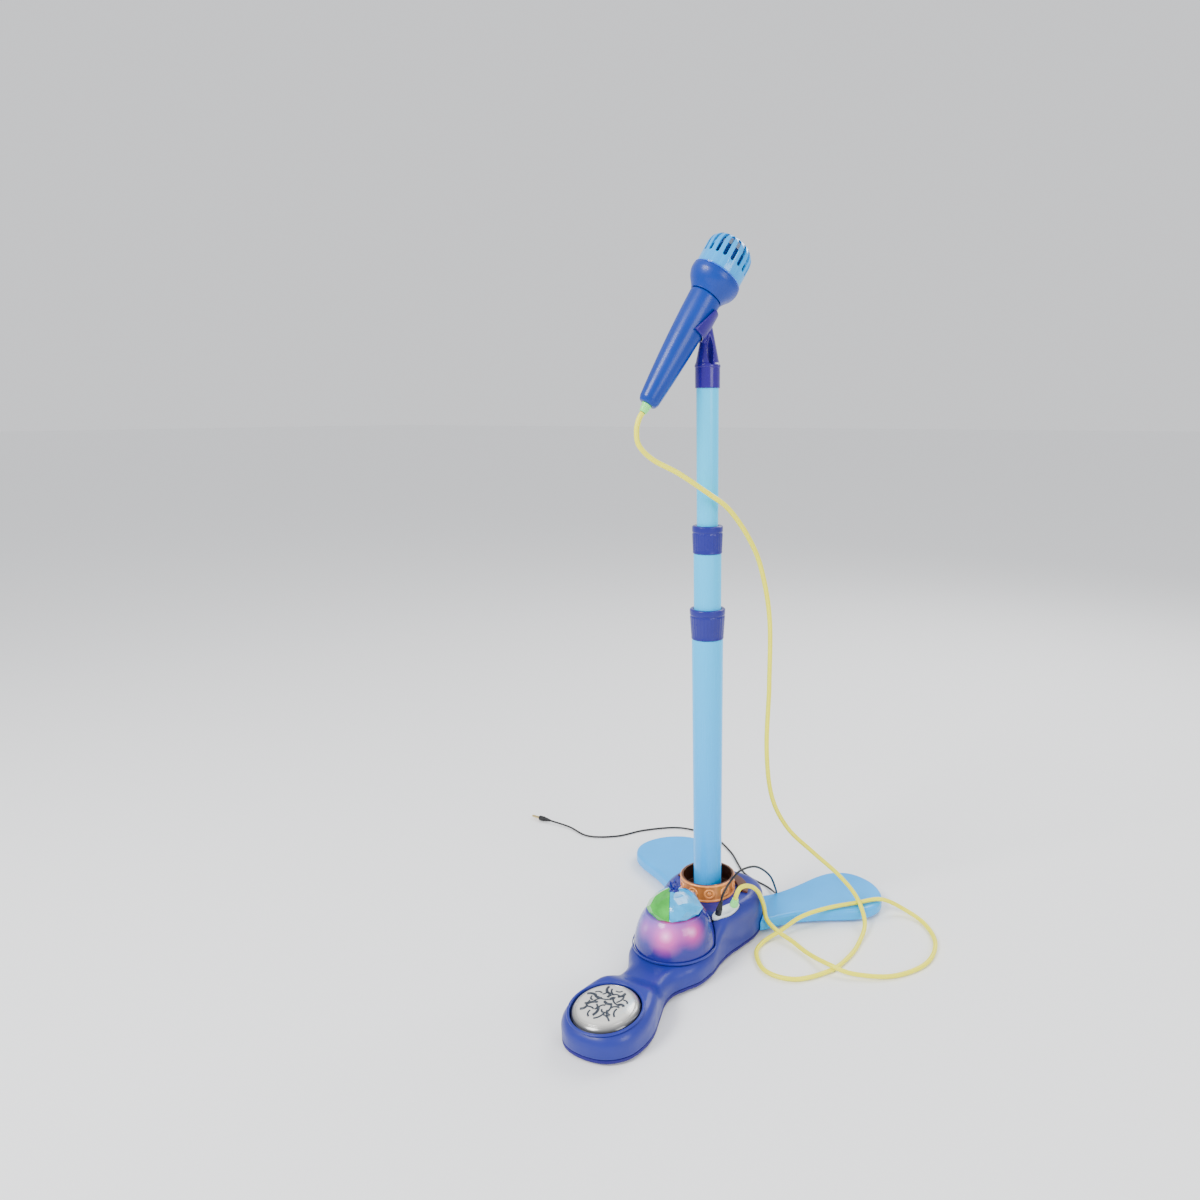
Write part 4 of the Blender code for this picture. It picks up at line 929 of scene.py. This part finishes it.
def power_knob():
    """The power switch's knob, with grip grooves across it."""
    low, high = span("power_slider")
    knob = box_mesh(high - low, (low + high) / 2, 0.7)
    grooves = [box_mesh((0.6, 1.4, 10), ((low.x + high.x) / 2 + 1.5 * k, high.y, (low.z + high.z) / 2))
               for k in (-1, 0, 1)]
    piece("power_knob", worked(knob, grooves), BLACK, "switch_knob", stands_for=["power_slider"])


# ---- mast ---------------------------------------------------------------------------------------------
def tube(name, body, end, shoulder, foot, radius, foot_radius, spigot, bore):
    """A tube that narrows to a spigot above its shoulder and, inside the ring, at its foot."""
    ring_top = 60
    profile = [(spigot, end), (spigot, shoulder), (radius, shoulder), (foot_radius, max(foot, ring_top)),
               (foot_radius, foot), (bore, foot), (bore, end)]
    piece(name + "_fine", turned(profile, 128, 0.5), MAST, body, stands_for=[name])


def mast():
    """The three tubes and the two collars, fluted for the fingers."""
    feet, tops = zip(*(span(n) for n in ("lower_tube", "middle_tube", "upper_tube")))
    lower_r, middle_r, upper_r = (p.x for p in tops)
    lower_spigot, middle_spigot = lower_r - 0.7, middle_r - 0.6
    tube("lower_tube", "base", tops[0].z, span("lower_collar")[0].z - GAP, feet[0].z, lower_r,
         lower_r - 0.6, lower_spigot, middle_r + GAP)
    tube("middle_tube", "middle_mast", tops[1].z, span("upper_collar")[0].z - GAP, feet[1].z, middle_r,
         middle_r, middle_spigot, middle_r - 1.3)
    tube("upper_tube", "upper_mast", tops[2].z, tops[2].z, feet[2].z, upper_r, upper_r, upper_r,
         upper_r - 1.2)
    for which, body, tube_r, spigot, taper in (("lower", "lower_clamp", middle_r, lower_spigot, 1.4),
                                               ("upper", "upper_clamp", upper_r, middle_spigot, 0.7)):
        low, high = span(f"{which}_collar")
        head, foot, bore, lip = high.x, high.x - taper, spigot + GAP, tube_r + 0.4

        def fluted(angle, r, z, low=low, high=high, foot=foot):
            """Shallow finger flutes between the foot and the head."""
            if r < foot - 0.5 or not low.z + 3 < z < high.z - 7:
                return r
            return r - 0.3 * (0.5 + 0.5 * cos(30 * angle)) ** 2

        body_line = [(low.z + 2.2 + (high.z - 10 - low.z) * k / 8) for k in range(9)]
        wall = [(foot + (head - foot) * k / 8 * 0.9, z) for k, z in enumerate(body_line)][::-1]
        profile = [(lip + 0.5, high.z), (head - 0.9, high.z), (head, high.z - 1), (head, high.z - 5.5),
                   (head - 0.5, high.z - 6.1), (head - 0.5, high.z - 6.7), *wall, (foot + 0.15, low.z + 1.2),
                   (foot, low.z), (bore, low.z), (bore, high.z - 2), (lip, high.z - 2), (lip, high.z - 0.5)]
        piece(f"{which}_clamp_ring", turned(profile, 180, 0.4, fluted), COLLAR, body, smooth=40,
              stands_for=[f"{which}_collar"])


# ---- clip and microphone ------------------------------------------------------------------------------
def clip():
    """The clip: a socket on the mast, a stem and a cradle round the handle, melted into one moulding."""
    bottom, tube_top = span("mic_clip")[0].z, span("upper_tube")[1].z + GAP
    turn = Matrix.Rotation(atan2(MIC.col[2].y, MIC.col[2].x), 4, "Z")
    root, bore, socket_top = 11.2, 10.5, 580
    socket = turned([(0, socket_top), (root, socket_top), (root, bottom), (bore, bottom), (bore, tube_top),
                     (0, tube_top)], 64, 0)
    bm = bmesh.new()
    stem_at = Matrix.Translation((0, 0, 594 * MM)) @ Matrix.Diagonal((1, 0.9, 1, 1))
    bmesh.ops.create_cone(bm, cap_ends=True, segments=48, radius1=root * MM, radius2=4.5 * MM,
                          depth=31 * MM, matrix=turn @ stem_at)
    cradle, wall, low_edge, high_edge = 14.6, 2.6, -36, -11
    arc = [radians(a) for a in np.linspace(-98, 98, 41)]
    outline = [((cradle + wall) * cos(a), (cradle + wall) * sin(a)) for a in arc]
    outline += [(cradle * cos(a), cradle * sin(a)) for a in arc[::-1]]
    low_open, high_open = -1, 8
    lean = Matrix.Rotation(atan2(high_open - low_open, high_edge - low_edge), 4, "Y")
    centre = Vector(((low_open + high_open) / 2, 0, (low_edge + high_edge) / 2)) * MM
    taper = placed(box_mesh((60, 60, 90), (-30, 0, 0)), Matrix.Translation(centre) @ lean)
    fork = placed(worked(prism(outline, low_edge, high_edge), [taper]), MIC)
    space = placed(rod_mesh(cradle + 0.1, -60, 10), MIC)
    recesses = [placed(ball_mesh((3.4, 9, 13), (-1.2, y, 591.5)), turn) for y in (-9.8, 9.8)]
    core = worked(worked(socket, added=[mesh_of(bm)]), [space])
    core = worked(core, recesses, [fork], voxel=0.45, rounds=5, thin=0.5)
    piece("clip_moulding", core, CLIP, "upper_mast", smooth=180, stands_for=["mic_clip"])
    band = turned([(11.25, 579.2), (11.6, 578.6), (11.6, 577.2), (11.25, 576.6)], 96, 0.3)
    piece("clip_socket_bead", band, CLIP, "upper_mast")


def handle():
    """The handle's two half shells and the grommet at its tail."""
    low, high = span("mic_handle_near", MIC)
    tail, top, neck = low.z, -3 - GAP, 12.4
    top_r, end_r, bore, waist = 14.3, 8.8, 10.8, -55

    def radius(z):
        """Slow taper under the head, faster towards the tail."""
        return top_r + (end_r - top_r) * ((top - z) / (top - tail)) ** 1.8

    side_line = [(radius(z), z) for z in np.linspace(top - 1.2, tail + 4, 24)]
    outer = [(neck, high.z), (neck, top), (top_r - 0.6, top), *side_line, (radius(tail) - 0.8, tail + 1),
             (radius(tail) - 2, tail)]
    inner = [(4.4, tail), (4.4, tail + 2.2), (6.4, tail + 2.6), (radius(waist) - 1.8, waist),
             (bore, top - 6), (bore, high.z)]
    for name, side in (("mic_handle_near", -1), ("mic_handle_far", 1)):
        cutter = box_mesh((300, 300, 300), (0, -side * (150 - GAP / 2), 0))
        half = worked(turned(outer + inner, 128, 0.7), [cutter], bevel=0.4)
        piece(name + "_shell", half, COBALT, "microphone", MIC, 35, [name])
    relief = [(4, tail + 4.8), (4, tail + 0.2), (4.6, tail - 0.3), (4.6, tail - 1.6), (3.9, tail - 2.2),
              (3.9, tail - 3.2), (4.2, tail - 3.5), (4.1, tail - 4.6), (3.6, tail - 5), (3.6, tail - 5.8),
              (3.7, tail - 6.1), (3.1, tail - 8), (2.45, tail - 8), (2.45, tail + 4.8)]
    piece("mic_tail_grommet", turned(relief, 48, 0.25), PALE_GREEN, "microphone", MIC, 35,
          ["mic_cord_grommet"])


def head():
    """Flared cup, a pale rim line painted as a highlight, slotted grille and the foam behind it."""
    flare = [(22.1, 16), (22.5, 14.6), (22.3, 10.5), (20.4, 5.6), (17.2, 1.2), (15.1, -2.2), (14.7, -3)]
    inside = [(12.8, -3), (12.8, 4.4), (17, 6.4), (20.1, 9.4), (20.1, 16)]
    outside = [tuple(p) for p in flat_spline(flare[1:], 6)]
    cup = turned([flare[0], *outside, *inside], 128, 0.5)
    piece("mic_cup", cup, COBALT, "microphone", MIC, 40, ["mic_cup_ring"])
    # painted highlight: a pale blue ring where the cup's rim catches the light
    line = turned([(22.1, 16.9), (22.3, 16.5), (22.2, 16.05), (21.2, 16.05), (21.2, 16.9)], 128, 0.2)
    piece("mic_cup_highlight_line", line, CUP_RIM_HIGHLIGHT, "microphone", MIC)
    low, high = span("mic_grille", MIC)
    wide, top = high.x, high.z
    crown = ((0, 0), (9, -0.6), (15.5, -2.9), (19.6, -7.5), (wide, -13))
    outer = [(r, top + z) for r, z in flat_spline(crown, 8, (wide, -20))]
    outer += [(wide, 17.6), (wide - 0.5, 17.2), (wide - 0.5, 16.3), (wide - 1.2, 16.3), (wide - 1.2, low.z)]
    inner = [(18.4, 10), (18.4, 17), (19.4, 18), (19.4, top - 13.5), (18.2, top - 8.5), (14.6, top - 4.6),
             (8.6, top - 2.3), (0, top - 1.7)]
    shell = turned(outer + inner, 144, 0.3)
    half = SLOT_WIDTH / 2
    ends = [(half * cos(a), centre + half * sin(a))
            for centre, start in ((SLOT_SPAN[1], 0), (SLOT_SPAN[0], pi))
            for a in np.linspace(start, start + pi, 9)]
    stand = Matrix(((0, 0, 1, 0), (1, 0, 0, 0), (0, 1, 0, 0), (0, 0, 0, 1)))
    slots = [placed(prism(ends, 13.5, 24), Matrix.Rotation(2 * pi * k / GRILLE_SLOTS, 4, "Z") @ stand)
             for k in range(GRILLE_SLOTS)]
    shell = worked(shell, [joined(slots)], bevel=0.35)
    piece("mic_grille_shell", shell, CYAN, "microphone", MIC, 30, ["mic_grille"])
    foam = turned([(0, 43.5), (9, 42.6), (14.4, 39.5), (17.4, 34.5), (17.4, 20), (15, 20), (15, 34),
                   (8, 39.5), (0, 40.5)], 96, 0.8)
    lining = piece("mic_foam_lining", foam, FOAM, "microphone", MIC, 60, ["mic_foam"])


# ---- the CAD parts that keep their shape --------------------------------------------------------------
KEPT = {
    "battery_door": INDIGO_SHADED, "battery_left": CELL, "battery_right": CELL, "battery_contacts": STEEL,
    "speaker": BLACK, "circuit_board": BOARD, "lamp_led_board": BOARD, "mast_socket": WHITE,
    "audio_jack": BLACK, "mic_jack": BLACK, "pedal_seat": WHITE, "pedal_switch": BLACK,
    "power_switch_body": BLACK, "lower_collet": WHITE, "upper_collet": WHITE, "mic_capsule": WHITE,
}


def paint_kept():
    for name, finish in KEPT.items():
        mesh = NODES[name].data
        mesh.materials.clear()
        mesh.materials.append(finish)


# ---- stage --------------------------------------------------------------------------------------------
def stage():
    """A pale floor, an even pale sky and three soft lights."""
    bm = bmesh.new()
    bmesh.ops.create_grid(bm, x_segments=1, y_segments=1, size=30)
    floor = bpy.data.objects.new("floor", mesh_of(bm))
    pale = bpy.data.materials.new("pale_floor")
    pale.use_nodes = True
    shader = pale.node_tree.nodes["Principled BSDF"]
    shader.inputs["Base Color"].default_value = (0.93, 0.935, 0.94, 1)
    shader.inputs["Roughness"].default_value = 0.7
    floor.data.materials.append(pale)
    floor.location.z = -0.0002
    bpy.context.scene.collection.objects.link(floor)
    world = bpy.data.worlds.new("studio")
    world.use_nodes = True
    sky = world.node_tree.nodes["Background"]
    sky.inputs["Color"].default_value = (0.96, 0.97, 1.0, 1)
    sky.inputs["Strength"].default_value = 1.0
    bpy.context.scene.world = world
    for name, place, size, power in (("key", (-0.7, -1.5, 1.7), 0.8, 50),
                                     ("fill", (1.6, -0.7, 0.9), 0.8, 14), ("back", (0.3, 1.4, 1.6), 1.0, 25)):
        data = bpy.data.lights.new(name, "AREA")
        data.size, data.energy = size, power
        lamp_object = bpy.data.objects.new(name, data)
        lamp_object.location = place
        aim = Vector((0, 0, 0.3)) - Vector(place)
        lamp_object.rotation_euler = aim.to_track_quat("-Z", "Y").to_euler()
        bpy.context.scene.collection.objects.link(lamp_object)


camera()
leads()
housing()
lower_shell()
soft_feet()
jacks()
lamp()
ring()
pedal()
spring()
legs()
power_knob()
mast()
clip()
handle()
head()
paint_kept()
stage()
